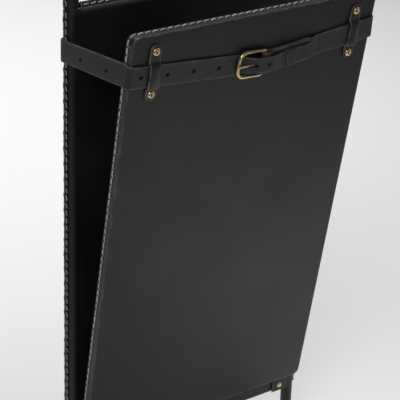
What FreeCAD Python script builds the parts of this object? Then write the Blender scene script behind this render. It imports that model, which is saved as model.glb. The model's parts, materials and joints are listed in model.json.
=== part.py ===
"""Magazine rack in saddle-stitched leather, built piece by piece.

A bent steel tube carries a leather-covered back panel and two foot bars.  A leather-covered
front board hinges at its bottom edge on two leather tabs, leans out at the top, and is held by
a buckled belt that goes once round the whole rack.

Frame: millimetres, +X to the right, +Y to the back, +Z up.  The origin is on the floor, at the
centre of the footprint.
"""
import FreeCAD
import Part
import math
import os

from FreeCAD import Placement, Rotation, Vector

# ---------------------------------------------------------------- driving dimensions
# Tube frame
TUBE_R = 5.5                # outer radius of every steel tube
TUBE_WALL = 1.5
UPRIGHT_X = 161.0           # half the distance between the uprights
UPRIGHT_Y = 32.0            # plane of the tube frame
HANDLE_Z = 740.0            # axis of the handle's top bar
HANDLE_BEND = 45.0          # bend radius of the handle, on the axis
CROSS_DROP = 20.5           # axis of the cross tube below the front panel's bottom edge
FIT_GAP = 0.05              # gap between a tube and what is pulled over it

# Foot bars and their caps
FOOT_AXIS_Z = 8.0           # 0.5 below the caps' radius, which gives each cap a flat
FOOT_HALF = 119.0           # half length of a foot bar
CAP_R = 8.5
CAP_LENGTH = 18.0
CAP_END_WALL = 5.0
CAP_EDGE = 3.5

# Leather
LEATHER = 1.45              # cover leather
FLANGE_REACH = 11.5         # outer edge of a seam flange, from the tube's axis
STITCH_REACH = 8.6          # stitch line of a seam flange, from the tube's axis
THREAD = 0.8
THREAD_PROUD = 0.5
LEG_LEATHER_R = 7.0

# Back panel
BACK_RISE = 528.0           # top of the back panel above the front panel's bottom edge
TOP_FLANGE = 5.0

# Front panel, in its own frame: u across, v up the slope, w out of the front face
PANEL_W = 320.0
PANEL_L = 534.0
PANEL_T = 14.0
PANEL_SEAM = 8.5            # depth of the seam round the edge, behind the front face
PANEL_CORNER = 8.0
PANEL_EDGE = 2.0
PANEL_TILT = 9.77           # degrees out of the vertical
PANEL_Z = 118.0             # bottom front edge above the floor
PANEL_AHEAD = 22.0          # bottom front edge ahead of the uprights' plane
HINGE_R = 3.0               # rounding of the bottom rear edge, the hinge axis is its centre

# Belt
BELT_W = 24.6
BELT_T = 2.4
CLOSE_FIT = 0.1             # air between parts that touch on the real rack
SEAM_GAP = 0.05             # air between the two halves of a seamed cover
BELT_AIR = 0.2              # air between a strap and the leather under it
BELT_HOLE_R = 2.4
BELT_HOLE_PITCH = 33.0
FIRST_HOLE_U = -147.5
FRONT_HOLES = 4
SIDE_BELT_RISE = 483.0      # centre of the belt at the uprights, above the panel's bottom edge
BELT_LINE = [(-175.0, 492.0), (-40.0, 480.8), (22.0, 477.6), (175.0, 493.3)]
BELT_LINE_BEND = 150.0
BELT_WRAP_R = 4.6           # bend round the panel's front edges, mid thickness

# Belt loops and their rivets
LOOP_W = 13.5
LOOP_T = 2.2
LOOP_LENGTH = 64.0
LOOP_RAMP = 1.4             # length of the slope up to the belt's height
LOOP_BEND = 1.2
LOOP_ROOM = 0.6             # extra opening of a front loop, whose belt slopes
LOOP_U = 132.0
FRONT_LOOPS = {-1: (491.9, 48.8), 1: (490.5, 51.0)}     # middle height v, rivet spacing
REAR_LOOP_X = 112.0
REAR_RIVET_SPACING = 48.0
RIVET_HEAD_R = 4.3
RIVET_HEAD_H = 1.8
RIVET_SHANK_R = 2.0
RIVET_EYE_R = 1.3

# Buckle, in its own frame: x along the belt, y across it, bar on the y axis
BAR_U = 9.0
WIRE_R = 1.7
BUCKLE_LENGTH = 33.0        # bar to far end, on the wire's axis
BUCKLE_HALF = 14.6          # half height, on the wire's axis
BUCKLE_FAR_W = 4.6
PRONG_R = 1.3
PRONG_TIP_W = 8.2
PRONG_OVERHANG = 2.6
EYE_HALF = 2.5
KEEPER_U = 43.0
KEEPER_W = 12.5
KEEPER_T = 1.1
FOLD_END_U = 73.0           # where the strap folded round the bar ends
TONGUE_END_U = 72.0
TONGUE_TIP_W = 17.4
TAPER_U = (-48.0, -22.0)    # where the belt narrows to the tongue

# Hinge tabs and their studs
TAB_X = 141.0
TAB_W = 22.0
TAB_T = 1.2
TAB_UP = 30.0
STUD_DROP = 17.6
STUD_HEAD_R = 3.85
STUD_HEAD_H = 2.4
STUD_SHANK_R = 1.5

# ---------------------------------------------------------------- derived places
PANEL_Y = UPRIGHT_Y - PANEL_AHEAD
CROSS_Z = PANEL_Z - CROSS_DROP
BACK_TOP = PANEL_Z + BACK_RISE
SHEATH_R = TUBE_R + FIT_GAP + LEATHER
BELT_Z = PANEL_Z + SIDE_BELT_RISE
PANEL_PLACE = Placement(Vector(0, PANEL_Y, PANEL_Z), Rotation(Vector(1, 0, 0), 90 + PANEL_TILT))
BELT_FLAT_W = BELT_AIR + BELT_T / 2
FAR = 400.0

X = Vector(1, 0, 0)
Y = Vector(0, 1, 0)
Z = Vector(0, 0, 1)


# ---------------------------------------------------------------- small helpers
def box(x0, x1, y0, y1, z0, z1):
    return Part.makeBox(x1 - x0, y1 - y0, z1 - z0, Vector(x0, y0, z0))


def cylinder(radius, start, end):
    line = end - start
    return Part.makeCylinder(radius, line.Length, start, line)


def fused(shapes):
    return shapes[0].multiFuse(shapes[1:]).removeSplitter()


def placed(shape, placement):
    return shape.transformed(placement.toMatrix())


def on_panel(shape):
    return placed(shape, PANEL_PLACE)


def rounded_plate(width, height, corner, depth):
    """A plate standing on its bottom edge, centred on x, its back on z = 0."""
    plate = box(-width / 2, width / 2, 0, height, 0, depth)
    upright_edges = [e for e in plate.Edges if abs(e.tangentAt(e.FirstParameter).z) > 0.9]
    return plate.makeFillet(corner, upright_edges)


def corner_arc(before, corner, after, radius):
    """Where a rounded corner starts and ends, its centre, and +1 for a left turn."""
    way_in = (corner - before).normalize()
    way_out = (after - corner).normalize()
    turn = way_in.getAngle(way_out)
    side = 1.0 if way_in.cross(way_out).z > 0 else -1.0
    setback = radius * math.tan(turn / 2)
    start = corner - way_in * setback
    end = corner + way_out * setback
    left = Vector(-way_in.y, way_in.x, 0)
    centre = start + left * (side * radius)
    return start, end, centre, side, math.degrees(turn), way_in


def ribbon_side(points, radii, offset):
    """One long side of a ribbon: straight runs and arcs, offset to the left of its path."""
    edges = []
    first = (points[1] - points[0]).normalize()
    here = points[0] + Vector(-first.y, first.x, 0) * offset
    for i in range(1, len(points) - 1):
        start, end, centre, side, turn, way = corner_arc(points[i - 1], points[i], points[i + 1],
                                                         radii[i - 1])
        reach = radii[i - 1] - side * offset
        arc_start = centre + (start - centre).normalize() * reach
        arc_end = centre + (end - centre).normalize() * reach
        arc_middle = centre + (points[i] - centre).normalize() * reach
        if (arc_start - here).Length > 1e-6:
            edges.append(Part.LineSegment(here, arc_start).toShape())
        edges.append(Part.Arc(arc_start, arc_middle, arc_end).toShape())
        here = arc_end
    last = (points[-1] - points[-2]).normalize()
    finish = points[-1] + Vector(-last.y, last.x, 0) * offset
    edges.append(Part.LineSegment(here, finish).toShape())
    return edges, points[0] + Vector(-first.y, first.x, 0) * offset, finish


def ribbon(path, radii, thickness):
    """A flat face that follows a path of straight runs and rounded corners."""
    points = [Vector(x, y, 0) for x, y in path]
    left, left_start, left_end = ribbon_side(points, radii, thickness / 2)
    right, right_start, right_end = ribbon_side(points, radii, -thickness / 2)
    caps = [Part.LineSegment(left_end, right_end).toShape(),
            Part.LineSegment(right_start, left_start).toShape()]
    outline = Part.Wire(Part.__sortEdges__(left + right + caps))
    return Part.Face(outline)


def bent_rod(path, radii, radius, closed=False):
    """A round rod in the XY plane along straight runs and rounded corners."""
    points = [Vector(x, y, 0) for x, y in path]
    count = len(points)
    corners = range(count) if closed else range(1, count - 1)
    pieces = []
    here = None if closed else points[0]
    first_start = None
    for k, i in enumerate(corners):
        start, end, centre, side, turn, way = corner_arc(points[i - 1], points[i],
                                                         points[(i + 1) % count], radii[k])
        if here is None:
            first_start = start
        else:
            pieces.append(cylinder(radius, here, start))
        section = Part.Face(Part.Wire(Part.makeCircle(radius, start, way)))
        pieces.append(section.revolve(centre, Z * side, turn))
        here = end
    pieces.append(cylinder(radius, here, first_start if closed else points[-1]))
    return fused(pieces)


def across_panel(face, v_low, v_high):
    """Stand a face drawn in (u, w) on the panel and run it from v_low to v_high."""
    solid = face.extrude(Z * (v_high - v_low))
    solid.translate(Z * -v_high)
    solid.rotate(Vector(), X, 90)
    return solid


# ---------------------------------------------------------------- tube frame
def handle_path(outward, foot_z):
    """Path in (x, z) from the left foot over the handle to the right foot."""
    x = UPRIGHT_X + outward
    top = HANDLE_Z + outward
    return [(-x, foot_z), (-x, top), (x, top), (x, foot_z)], [HANDLE_BEND + outward] * 2


def stood_up(shape):
    """Turn a shape drawn in (x, z) upright, into the plane of the tube frame."""
    shape.rotate(Vector(), X, 90)
    shape.translate(Y * UPRIGHT_Y)
    return shape


def upright_cylinder(side, radius, z_low, z_high):
    x = side * UPRIGHT_X
    return cylinder(radius, Vector(x, UPRIGHT_Y, z_low), Vector(x, UPRIGHT_Y, z_high))


def foot_cylinder(side, radius, half):
    x = side * UPRIGHT_X
    return cylinder(radius, Vector(x, -half, FOOT_AXIS_Z), Vector(x, half, FOOT_AXIS_Z))


def cross_cylinder(radius):
    return cylinder(radius, Vector(-UPRIGHT_X, UPRIGHT_Y, CROSS_Z),
                    Vector(UPRIGHT_X, UPRIGHT_Y, CROSS_Z))


def frame_tube():
    path, radii = handle_path(0, FOOT_AXIS_Z)
    tube = stood_up(bent_rod(path, radii, TUBE_R))
    bore = stood_up(bent_rod(path, radii, TUBE_R - TUBE_WALL))
    feet = fused([foot_cylinder(side, TUBE_R, FOOT_HALF) for side in (-1, 1)])
    return tube.cut(bore).cut(feet)


def cross_tube():
    tube = cross_cylinder(TUBE_R).cut(cross_cylinder(TUBE_R - TUBE_WALL))
    for side in (-1, 1):
        tube = tube.cut(upright_cylinder(side, TUBE_R, CROSS_Z - 30, CROSS_Z + 30))
        tube = tube.cut(stud_shank(side))
    return tube


def foot_tube(side):
    return foot_cylinder(side, TUBE_R, FOOT_HALF).cut(foot_cylinder(side, TUBE_R - TUBE_WALL, FAR))


def foot_cap(side, end):
    """A brass cap over one end of a foot bar, the part that stands on the floor."""
    tip = FOOT_HALF + CAP_END_WALL
    x = side * UPRIGHT_X
    body = cylinder(CAP_R, Vector(x, end * (tip - CAP_LENGTH), FOOT_AXIS_Z),
                    Vector(x, end * tip, FOOT_AXIS_Z))
    rim = [e for e in body.Edges if abs(abs(e.CenterOfMass.y) - tip) < 0.01]
    body = body.makeFillet(CAP_EDGE, rim).common(box(-FAR, FAR, -FAR, FAR, 0, FAR))
    return body.cut(foot_cylinder(side, TUBE_R + FIT_GAP, FOOT_HALF + FIT_GAP))


def foot_leather(side):
    half = FOOT_HALF + CAP_END_WALL - CAP_LENGTH - 0.3
    sheath = foot_cylinder(side, SHEATH_R, half).cut(foot_cylinder(side, TUBE_R + FIT_GAP, FAR))
    return sheath.cut(upright_cylinder(side, TUBE_R + FIT_GAP, FOOT_AXIS_Z, FAR))


def leg_leather(side):
    top = CROSS_Z - SHEATH_R - 0.3
    sheath = upright_cylinder(side, LEG_LEATHER_R, FOOT_AXIS_Z, top)
    sheath = sheath.cut(upright_cylinder(side, TUBE_R + FIT_GAP, 0, FAR))
    return sheath.cut(foot_cylinder(side, SHEATH_R + CLOSE_FIT, FAR))


# ---------------------------------------------------------------- handle leather
def handle_leather():
    low = BACK_TOP + TOP_FLANGE / 2
    path, radii = handle_path(0, low)
    sheath = bent_rod(path, radii, SHEATH_R)
    middle = (STITCH_REACH + FLANGE_REACH - 2.2) / 2
    flange_path, flange_radii = handle_path(middle, low)
    flange = ribbon(flange_path, flange_radii, 2 * (FLANGE_REACH - middle))
    flange = flange.extrude(Z * 2 * LEATHER)
    flange.translate(Z * -LEATHER)
    skin = stood_up(fused([sheath, flange]))
    bore_path, bore_radii = handle_path(0, 0)
    return skin.cut(stood_up(bent_rod(bore_path, bore_radii, TUBE_R + FIT_GAP)))


def handle_thread():
    low = BACK_TOP + TOP_FLANGE
    path, radii = handle_path(STITCH_REACH, low)
    line = ribbon(path, radii, THREAD)
    sides = []
    for face in (-1, 1):
        run = line.extrude(Z * THREAD_PROUD)
        run.translate(Z * (LEATHER if face > 0 else -LEATHER - THREAD_PROUD))
        sides.append(stood_up(run))
    return Part.makeCompound(sides)


# ---------------------------------------------------------------- back panel
def back_cover(front):
    """Half of the envelope round the uprights: front = -1 for the front half, +1 for the rear."""
    low_y, high_y = sorted([front * SEAM_GAP, front * FAR])
    half_space = box(-FAR, FAR, UPRIGHT_Y + low_y, UPRIGHT_Y + high_y, 0, FAR * 2)
    low = CROSS_Z - SHEATH_R

    def edge_wrap(side):
        tube = upright_cylinder(side, SHEATH_R, low, BACK_TOP)
        x0, x1 = sorted([side * UPRIGHT_X, side * (UPRIGHT_X + SHEATH_R + 1)])
        tube = tube.common(box(x0, x1, -FAR, FAR, low, BACK_TOP))
        f0, f1 = sorted([side * (UPRIGHT_X + TUBE_R + 0.5), side * (UPRIGHT_X + FLANGE_REACH)])
        flange = box(f0, f1, UPRIGHT_Y - LEATHER, UPRIGHT_Y + LEATHER, low + 3, BACK_TOP)
        return tube.fuse(flange)

    sheet_y = sorted([UPRIGHT_Y + front * (SHEATH_R - LEATHER), UPRIGHT_Y + front * SHEATH_R])
    sheet = box(-UPRIGHT_X, UPRIGHT_X, sheet_y[0], sheet_y[1], CROSS_Z, BACK_TOP)
    bottom = cross_cylinder(SHEATH_R).common(box(-FAR, FAR, -FAR, FAR, 0, CROSS_Z))
    lid = box(-UPRIGHT_X, UPRIGHT_X, UPRIGHT_Y - SHEATH_R, UPRIGHT_Y + SHEATH_R,
              BACK_TOP - LEATHER, BACK_TOP)
    inner = UPRIGHT_X - TUBE_R - 2
    ridge = box(-inner, inner, UPRIGHT_Y - LEATHER, UPRIGHT_Y + LEATHER,
                BACK_TOP - LEATHER, BACK_TOP + TOP_FLANGE)
    cover = fused([edge_wrap(-1), edge_wrap(1), sheet, bottom, lid, ridge]).common(half_space)
    cover = cover.cut(cross_cylinder(TUBE_R + FIT_GAP))
    for side in (-1, 1):
        cover = cover.cut(upright_cylinder(side, TUBE_R + FIT_GAP, 0, BACK_TOP + 20))
    return cover


def back_front_leather():
    return back_cover(-1).cut(fused([stud_shank(side) for side in (-1, 1)]))


def back_rear_leather():
    return back_cover(1).cut(fused(rear_rivet_shanks()))


def back_board():
    inner = UPRIGHT_X - TUBE_R - 0.3
    half = TUBE_R - 0.05
    board = box(-inner, inner, UPRIGHT_Y - half, UPRIGHT_Y + half,
                CROSS_Z + TUBE_R + 0.2, BACK_TOP - LEATHER - CLOSE_FIT)
    return board.cut(fused(rear_rivet_shanks()))


def back_side_thread(side):
    low = CROSS_Z - SHEATH_R + 5
    x0, x1 = sorted([side * (UPRIGHT_X + STITCH_REACH - THREAD / 2),
                     side * (UPRIGHT_X + STITCH_REACH + THREAD / 2)])
    runs = []
    for face in (-1, 1):
        y0, y1 = sorted([UPRIGHT_Y + face * LEATHER, UPRIGHT_Y + face * (LEATHER + THREAD_PROUD)])
        runs.append(box(x0, x1, y0, y1, low, BACK_TOP))
    return Part.makeCompound(runs)


def back_top_thread():
    half = UPRIGHT_X - TUBE_R - 6
    z = BACK_TOP + TOP_FLANGE / 2
    runs = []
    for face in (-1, 1):
        y0, y1 = sorted([UPRIGHT_Y + face * LEATHER, UPRIGHT_Y + face * (LEATHER + THREAD_PROUD)])
        runs.append(box(-half, half, y0, y1, z - THREAD / 2, z + THREAD / 2))
    return Part.makeCompound(runs)


# ---------------------------------------------------------------- front panel
def front_block(inset, depth_front, depth_rear):
    """The panel's outline, set in by a distance, between two depths behind the front face."""
    plate = rounded_plate(PANEL_W - 2 * inset, PANEL_L - 2 * inset, PANEL_CORNER - inset,
                          depth_rear - depth_front)
    plate.translate(Vector(0, inset, -depth_rear))
    return plate


def front_face_leather():
    block = front_block(0, 0, PANEL_SEAM)
    front_rim = [e for e in block.Edges if e.BoundBox.ZMin > -1e-3]
    block = block.makeFillet(PANEL_EDGE, front_rim)
    skin = block.cut(front_block(LEATHER, LEATHER, PANEL_SEAM))
    return on_panel(skin.cut(fused(front_rivet_shanks())))


def front_rear_leather():
    block = front_block(0, PANEL_SEAM, PANEL_T)
    hinge_round = box(-FAR, FAR, -1, HINGE_R, -PANEL_T - 1, -PANEL_T + HINGE_R)
    axis_start = Vector(-FAR, HINGE_R, -PANEL_T + HINGE_R)
    hinge_round = hinge_round.cut(cylinder(HINGE_R, axis_start, axis_start + X * 2 * FAR))
    block = block.cut(hinge_round)
    return on_panel(block.cut(front_block(LEATHER, PANEL_SEAM, PANEL_T - LEATHER)))


def front_board():
    board = front_block(LEATHER + CLOSE_FIT, LEATHER + CLOSE_FIT,
                        PANEL_T - LEATHER - CLOSE_FIT)
    return on_panel(board.cut(fused(front_rivet_shanks())))


def front_edge_thread():
    half = THREAD / 2
    outer = front_block(-THREAD_PROUD, PANEL_SEAM - half, PANEL_SEAM + half)
    return on_panel(outer.cut(front_block(0, PANEL_SEAM - half, PANEL_SEAM + half)))


# ---------------------------------------------------------------- loops and rivets
def belt_loop(belt_low, belt_high, spacing):
    """A riveted loop: x across, y along its length, z outward, belt edges given along y."""
    half = LOOP_LENGTH / 2
    flat = LOOP_T / 2
    raised = BELT_AIR + BELT_T + BELT_AIR + LOOP_T / 2
    steepness = math.atan2(raised - flat, LOOP_RAMP)
    clear = BELT_AIR + LOOP_T / 2 * math.tan(steepness / 2)
    low = belt_low - clear
    high = belt_high + clear
    path = [(-half, flat), (low - LOOP_RAMP, flat), (low, raised), (high, raised),
            (high + LOOP_RAMP, flat), (half, flat)]
    face = ribbon(path, [LOOP_BEND] * 4, LOOP_T)
    strip = face.extrude(Z * LOOP_W)
    strip.translate(Z * -LOOP_W / 2)
    strip.rotate(Vector(), Vector(1, 1, 1), 120)
    end_r = LOOP_W / 2
    outline = [box(-end_r, end_r, -half + end_r, half - end_r, -1, 20)]
    for end in (-1, 1):
        y = end * (half - end_r)
        outline.append(cylinder(end_r, Vector(0, y, -1), Vector(0, y, 20)))
    strip = strip.common(fused(outline))
    for end in (-1, 1):
        y = end * spacing / 2
        strip = strip.cut(cylinder(RIVET_SHANK_R, Vector(0, y, -1), Vector(0, y, 20)))
    return strip


def loop_rivets(depth, spacing):
    """Two rivets of one loop, in the loop's frame, their shanks going depth below the leather."""
    rivets = []
    for end in (-1, 1):
        y = end * spacing / 2
        head = cylinder(RIVET_HEAD_R, Vector(0, y, LOOP_T), Vector(0, y, LOOP_T + RIVET_HEAD_H))
        rim = [e for e in head.Edges if e.BoundBox.ZMin > LOOP_T + RIVET_HEAD_H - 0.01]
        head = head.makeFillet(RIVET_HEAD_H * 0.6, rim)
        shank = cylinder(RIVET_SHANK_R, Vector(0, y, -depth), Vector(0, y, LOOP_T + 0.2))
        eye = cylinder(RIVET_EYE_R, Vector(0, y, LOOP_T + RIVET_HEAD_H - 1), Vector(0, y, 20))
        rivets.append(head.fuse(shank).removeSplitter().cut(eye))
    return rivets


def front_loop_place(side):
    return Placement(Vector(side * LOOP_U, FRONT_LOOPS[side][0], 0), Rotation())


def rear_loop_place(side):
    turn = Rotation(Vector(-1, 0, 0), Vector(0, 0, 1), Vector(0, 1, 0), "XYZ")
    return Placement(Vector(side * REAR_LOOP_X, UPRIGHT_Y + SHEATH_R, BELT_Z), turn)


FRONT_SHANK_DEPTH = 8.0
REAR_SHANK_DEPTH = 6.0


def shanks(depth, spacing):
    found = []
    for end in (-1, 1):
        y = end * spacing / 2
        found.append(cylinder(RIVET_SHANK_R, Vector(0, y, -depth), Vector(0, y, 10)))
    return found


def front_rivet_shanks():
    return [placed(s, front_loop_place(side)) for side in (-1, 1)
            for s in shanks(FRONT_SHANK_DEPTH, FRONT_LOOPS[side][1])]


def rear_rivet_shanks():
    return [placed(s, rear_loop_place(side)) for side in (-1, 1)
            for s in shanks(REAR_SHANK_DEPTH, REAR_RIVET_SPACING)]


def belt_height(u):
    """Height v of the belt's centre line on the front panel, where it runs straight."""
    for (u0, v0), (u1, v1) in zip(BELT_LINE, BELT_LINE[1:]):
        if u <= u1:
            return v0 + (v1 - v0) * (u - u0) / (u1 - u0)
    return BELT_LINE[-1][1]


def front_loop(side):
    middle, spacing = FRONT_LOOPS[side]
    centre = belt_height(side * LOOP_U) - middle
    reach = BELT_W / 2 + LOOP_ROOM
    loop = belt_loop(centre - reach, centre + reach, spacing)
    return on_panel(placed(loop, front_loop_place(side)))


def rear_loop(side):
    loop = belt_loop(-BELT_W / 2, BELT_W / 2, REAR_RIVET_SPACING)
    return placed(loop, rear_loop_place(side))


def front_loop_rivets():
    rivets = [on_panel(placed(r, front_loop_place(side))) for side in (-1, 1)
              for r in loop_rivets(FRONT_SHANK_DEPTH, FRONT_LOOPS[side][1])]
    return Part.makeCompound(rivets)


def rear_loop_rivets():
    rivets = [placed(r, rear_loop_place(side)) for side in (-1, 1)
              for r in loop_rivets(REAR_SHANK_DEPTH, REAR_RIVET_SPACING)]
    return Part.makeCompound(rivets)


# ---------------------------------------------------------------- belt
FOLD_R = WIRE_R + BELT_AIR + BELT_T / 2     # bend of the strap round the bar, mid thickness
FOLD_BACK_W = BELT_FLAT_W
BAR_W = FOLD_BACK_W + FOLD_R
MAIN_W = FOLD_BACK_W + BELT_T + CLOSE_FIT
TONGUE_W = MAIN_W + BELT_T + CLOSE_FIT + KEEPER_T + CLOSE_FIT
OVER_BAR_W = BAR_W + FOLD_R + BELT_T + BELT_AIR
TONGUE_RISE = (-29.5, -14.0)    # where the tongue climbs, measured from the bar
TONGUE_FALL = (10.0, 22.0)      # where it comes down again behind the bar
TONGUE_BEND = 8.0
STRAP_FALL = (3.0, 13.0)        # where the folded strap comes down, measured from the bar
STRAP_STEP = (1.0, 9.0)         # where the strap drops past the end of its own fold
STRAP_BEND = 5.0
STRAP_JOIN = 27.0               # past the bar, where the strap takes the belt's line
JOIN_OVERLAP = 13.0
EYE_SLOT = (-8.0, 8.0)          # opening of the fold for the prong's eye
EYE_ROOM = 0.5
PRONG_SLOT = (-26.5, -10.5)     # the tongue's worn hole, measured from the bar
PRONG_SLOT_HALF = 1.8
BEYOND = 20.0                   # tool length past the leather being cut
BUCKLE_SLOPE = math.degrees(math.atan2(BELT_LINE[2][1] - BELT_LINE[1][1],
                                       BELT_LINE[2][0] - BELT_LINE[1][0]))
RIGHT_SLOPE = math.degrees(math.atan2(BELT_LINE[3][1] - BELT_LINE[2][1],
                                      BELT_LINE[3][0] - BELT_LINE[2][0]))
BUCKLE_PLACE = Placement(Vector(BAR_U, belt_height(BAR_U), 0), Rotation(Z, BUCKLE_SLOPE))
KEEPER_PLACE = Placement(Vector(KEEPER_U, belt_height(KEEPER_U), 0), Rotation(Z, RIGHT_SLOPE))
SPAN_X = UPRIGHT_X + FLANGE_REACH + BELT_AIR + BELT_T / 2
SPAN_Y = UPRIGHT_Y - 2.0
SIDE_REACH = PANEL_W / 2 + THREAD_PROUD + BELT_AIR + BELT_T / 2


def wrap_corner():
    """Start and corner of the belt's turn round a front edge, as (distance from centre, w)."""
    return (SIDE_REACH, BELT_FLAT_W - BELT_WRAP_R - 3.0), (SIDE_REACH, BELT_FLAT_W)


def belt_plan(width):
    """A band along the belt's centre line on the front panel, seen square to the panel."""
    band = ribbon(BELT_LINE, [BELT_LINE_BEND, BELT_LINE_BEND], width).extrude(Z * 60)
    band.translate(Z * -30)
    return band


def tongue_plan():
    """The belt's full width, narrowing before the buckle to the tongue's width."""
    wide_end, narrow_start = TAPER_U
    wide = belt_plan(BELT_W).common(box(-FAR, wide_end, 0, 2 * FAR, -30, 30))
    narrow = belt_plan(TONGUE_TIP_W).common(box(narrow_start, FAR, 0, 2 * FAR, -30, 30))
    v0, v1 = belt_height(wide_end), belt_height(narrow_start)
    outline = [Vector(wide_end, v0 - BELT_W / 2, -30), Vector(wide_end, v0 + BELT_W / 2, -30),
               Vector(narrow_start, v1 + TONGUE_TIP_W / 2, -30),
               Vector(narrow_start, v1 - TONGUE_TIP_W / 2, -30)]
    taper = Part.Face(Part.makePolygon(outline + outline[:1])).extrude(Z * 60)
    return fused([wide, taper, narrow])


def across_belt(path, radii, reach=60.0):
    """A strap's side profile, drawn in (u, w), run far across the belt."""
    return across_panel(ribbon(path, radii, BELT_T), -reach, reach)


def belt_tongue():
    """The punched end of the belt: left edge, front, through the buckle, over the bar."""
    start, corner = wrap_corner()
    path = [(-start[0], start[1]), (-corner[0], corner[1]),
            (BAR_U + TONGUE_RISE[0], BELT_FLAT_W), (BAR_U + TONGUE_RISE[1], OVER_BAR_W),
            (BAR_U + TONGUE_FALL[0], OVER_BAR_W), (BAR_U + TONGUE_FALL[1], TONGUE_W),
            (TONGUE_END_U, TONGUE_W)]
    strap = across_belt(path, [BELT_WRAP_R] + [TONGUE_BEND] * 4)
    strap.translate(Y * belt_height(0))
    strap = strap.common(tongue_plan())
    holes = [FIRST_HOLE_U + n * BELT_HOLE_PITCH for n in range(FRONT_HOLES)] + [BAR_U + 3]
    for u in holes:
        v = belt_height(u)
        strap = strap.cut(cylinder(BELT_HOLE_R, Vector(u, v, -BEYOND), Vector(u, v, BEYOND)))
    slot = box(*PRONG_SLOT, -PRONG_SLOT_HALF, PRONG_SLOT_HALF, -BEYOND, BEYOND)
    return on_panel(strap.cut(placed(slot, BUCKLE_PLACE)))


def belt_buckle_strap():
    """The strap folded round the buckle's bar, then to the right loop and the right edge."""
    join_u = BAR_U + STRAP_JOIN
    end = STRAP_JOIN + JOIN_OVERLAP
    fold = [(end, FOLD_BACK_W), (-FOLD_R, FOLD_BACK_W), (-FOLD_R, BAR_W + FOLD_R),
            (STRAP_FALL[0], BAR_W + FOLD_R), (STRAP_FALL[1], MAIN_W), (end, MAIN_W)]
    folded = placed(across_belt(fold, [FOLD_R, FOLD_R, STRAP_BEND, STRAP_BEND]), BUCKLE_PLACE)
    folded = folded.common(box(-FAR, join_u, 0, 2 * FAR, -BEYOND, BEYOND))
    start, corner = wrap_corner()
    top = [(join_u, MAIN_W), (FOLD_END_U + STRAP_STEP[0], MAIN_W), (FOLD_END_U + STRAP_STEP[1], BELT_FLAT_W),
           corner, start]
    runs = [across_belt(top, [STRAP_BEND, STRAP_BEND, BELT_WRAP_R]),
            across_belt([(join_u, FOLD_BACK_W), (FOLD_END_U, FOLD_BACK_W)], [])]
    for run in runs:
        run.translate(Y * belt_height(0))
    strap = fused([folded] + runs).common(belt_plan(BELT_W))
    prong_slot = box(*EYE_SLOT, -EYE_HALF - EYE_ROOM, EYE_HALF + EYE_ROOM,
                     FOLD_BACK_W - BELT_T, BEYOND)
    return on_panel(strap.cut(placed(prong_slot, BUCKLE_PLACE)))


def belt_rear_run():
    """The belt from upright to upright round the back, level."""
    flat_y = UPRIGHT_Y + SHEATH_R + BELT_AIR + BELT_T / 2
    turn_x = UPRIGHT_X + 4.5
    path = [(-SPAN_X, SPAN_Y), (-SPAN_X, UPRIGHT_Y + 4.0), (-turn_x, flat_y),
            (turn_x, flat_y), (SPAN_X, UPRIGHT_Y + 4.0), (SPAN_X, SPAN_Y)]
    strap = ribbon(path, [3.0, 5.0, 5.0, 3.0], BELT_T).extrude(Z * BELT_W)
    strap.translate(Z * (BELT_Z - BELT_W / 2))
    return strap


def belt_side_span(side):
    """The straight run from an upright to the front panel's edge, twisted to lie against it."""
    half_w = BELT_W / 2
    half_t = BELT_T / 2
    around = [(-half_t, -half_w), (half_t, -half_w), (half_t, half_w), (-half_t, half_w)]
    start, _ = wrap_corner()
    u = side * start[0]
    v = belt_height(u)
    rear = [Vector(side * SPAN_X + dx, SPAN_Y - CLOSE_FIT, BELT_Z + dz) for dx, dz in around]
    front = [PANEL_PLACE.multVec(Vector(u + du, v + dv, start[1] - CLOSE_FIT)) for du, dv in around]
    wires = [Part.makePolygon(corners + corners[:1]) for corners in (rear, front)]
    return Part.makeLoft(wires, True, True)


# ---------------------------------------------------------------- buckle
def buckle_frame():
    corners = [(0, -BUCKLE_HALF), (0, BUCKLE_HALF), (-BUCKLE_LENGTH, BUCKLE_HALF),
               (-BUCKLE_LENGTH, -BUCKLE_HALF)]
    ring = bent_rod(corners, [3.0, 3.0, 9.0, 9.0], WIRE_R, closed=True)
    dip = math.degrees(math.asin((BAR_W - BUCKLE_FAR_W) / BUCKLE_LENGTH))
    ring.rotate(Vector(), Y, -dip)
    ring.translate(Z * BAR_W)
    return on_panel(placed(ring, BUCKLE_PLACE))


def buckle_prong():
    tip = Vector(-BUCKLE_LENGTH - PRONG_OVERHANG, 0, PRONG_TIP_W)
    root = Vector(0, 0, BAR_W)
    shank = cylinder(PRONG_R, root, tip)
    tip_ball = Part.makeSphere(PRONG_R, tip)
    eye = cylinder(WIRE_R + FIT_GAP + 1.2, Vector(0, -EYE_HALF, BAR_W), Vector(0, EYE_HALF, BAR_W))
    bore = cylinder(WIRE_R + FIT_GAP, Vector(0, -10, BAR_W), Vector(0, 10, BAR_W))
    prong = shank.fuse(tip_ball).fuse(eye).removeSplitter().cut(bore)
    return on_panel(placed(prong, BUCKLE_PLACE))


def belt_keeper():
    """A leather loop sewn to the folded strap, the tongue passes through it."""
    inner_half = TONGUE_TIP_W / 2 + 0.4
    inner_low = TONGUE_W - BELT_T / 2 - CLOSE_FIT
    inner_high = TONGUE_W + BELT_T / 2 + CLOSE_FIT
    half = KEEPER_W / 2

    def block(grow):
        body = box(-half - 1, half + 1, -inner_half - grow, inner_half + grow,
                   inner_low - grow, inner_high + grow)
        long_edges = [e for e in body.Edges if abs(e.tangentAt(e.FirstParameter).x) > 0.9]
        return body.makeFillet(0.4 + grow * 0.7, long_edges)

    ring = block(KEEPER_T).cut(block(0)).common(box(-half, half, -50, 50, -50, 50))
    return on_panel(placed(ring, KEEPER_PLACE))


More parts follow.
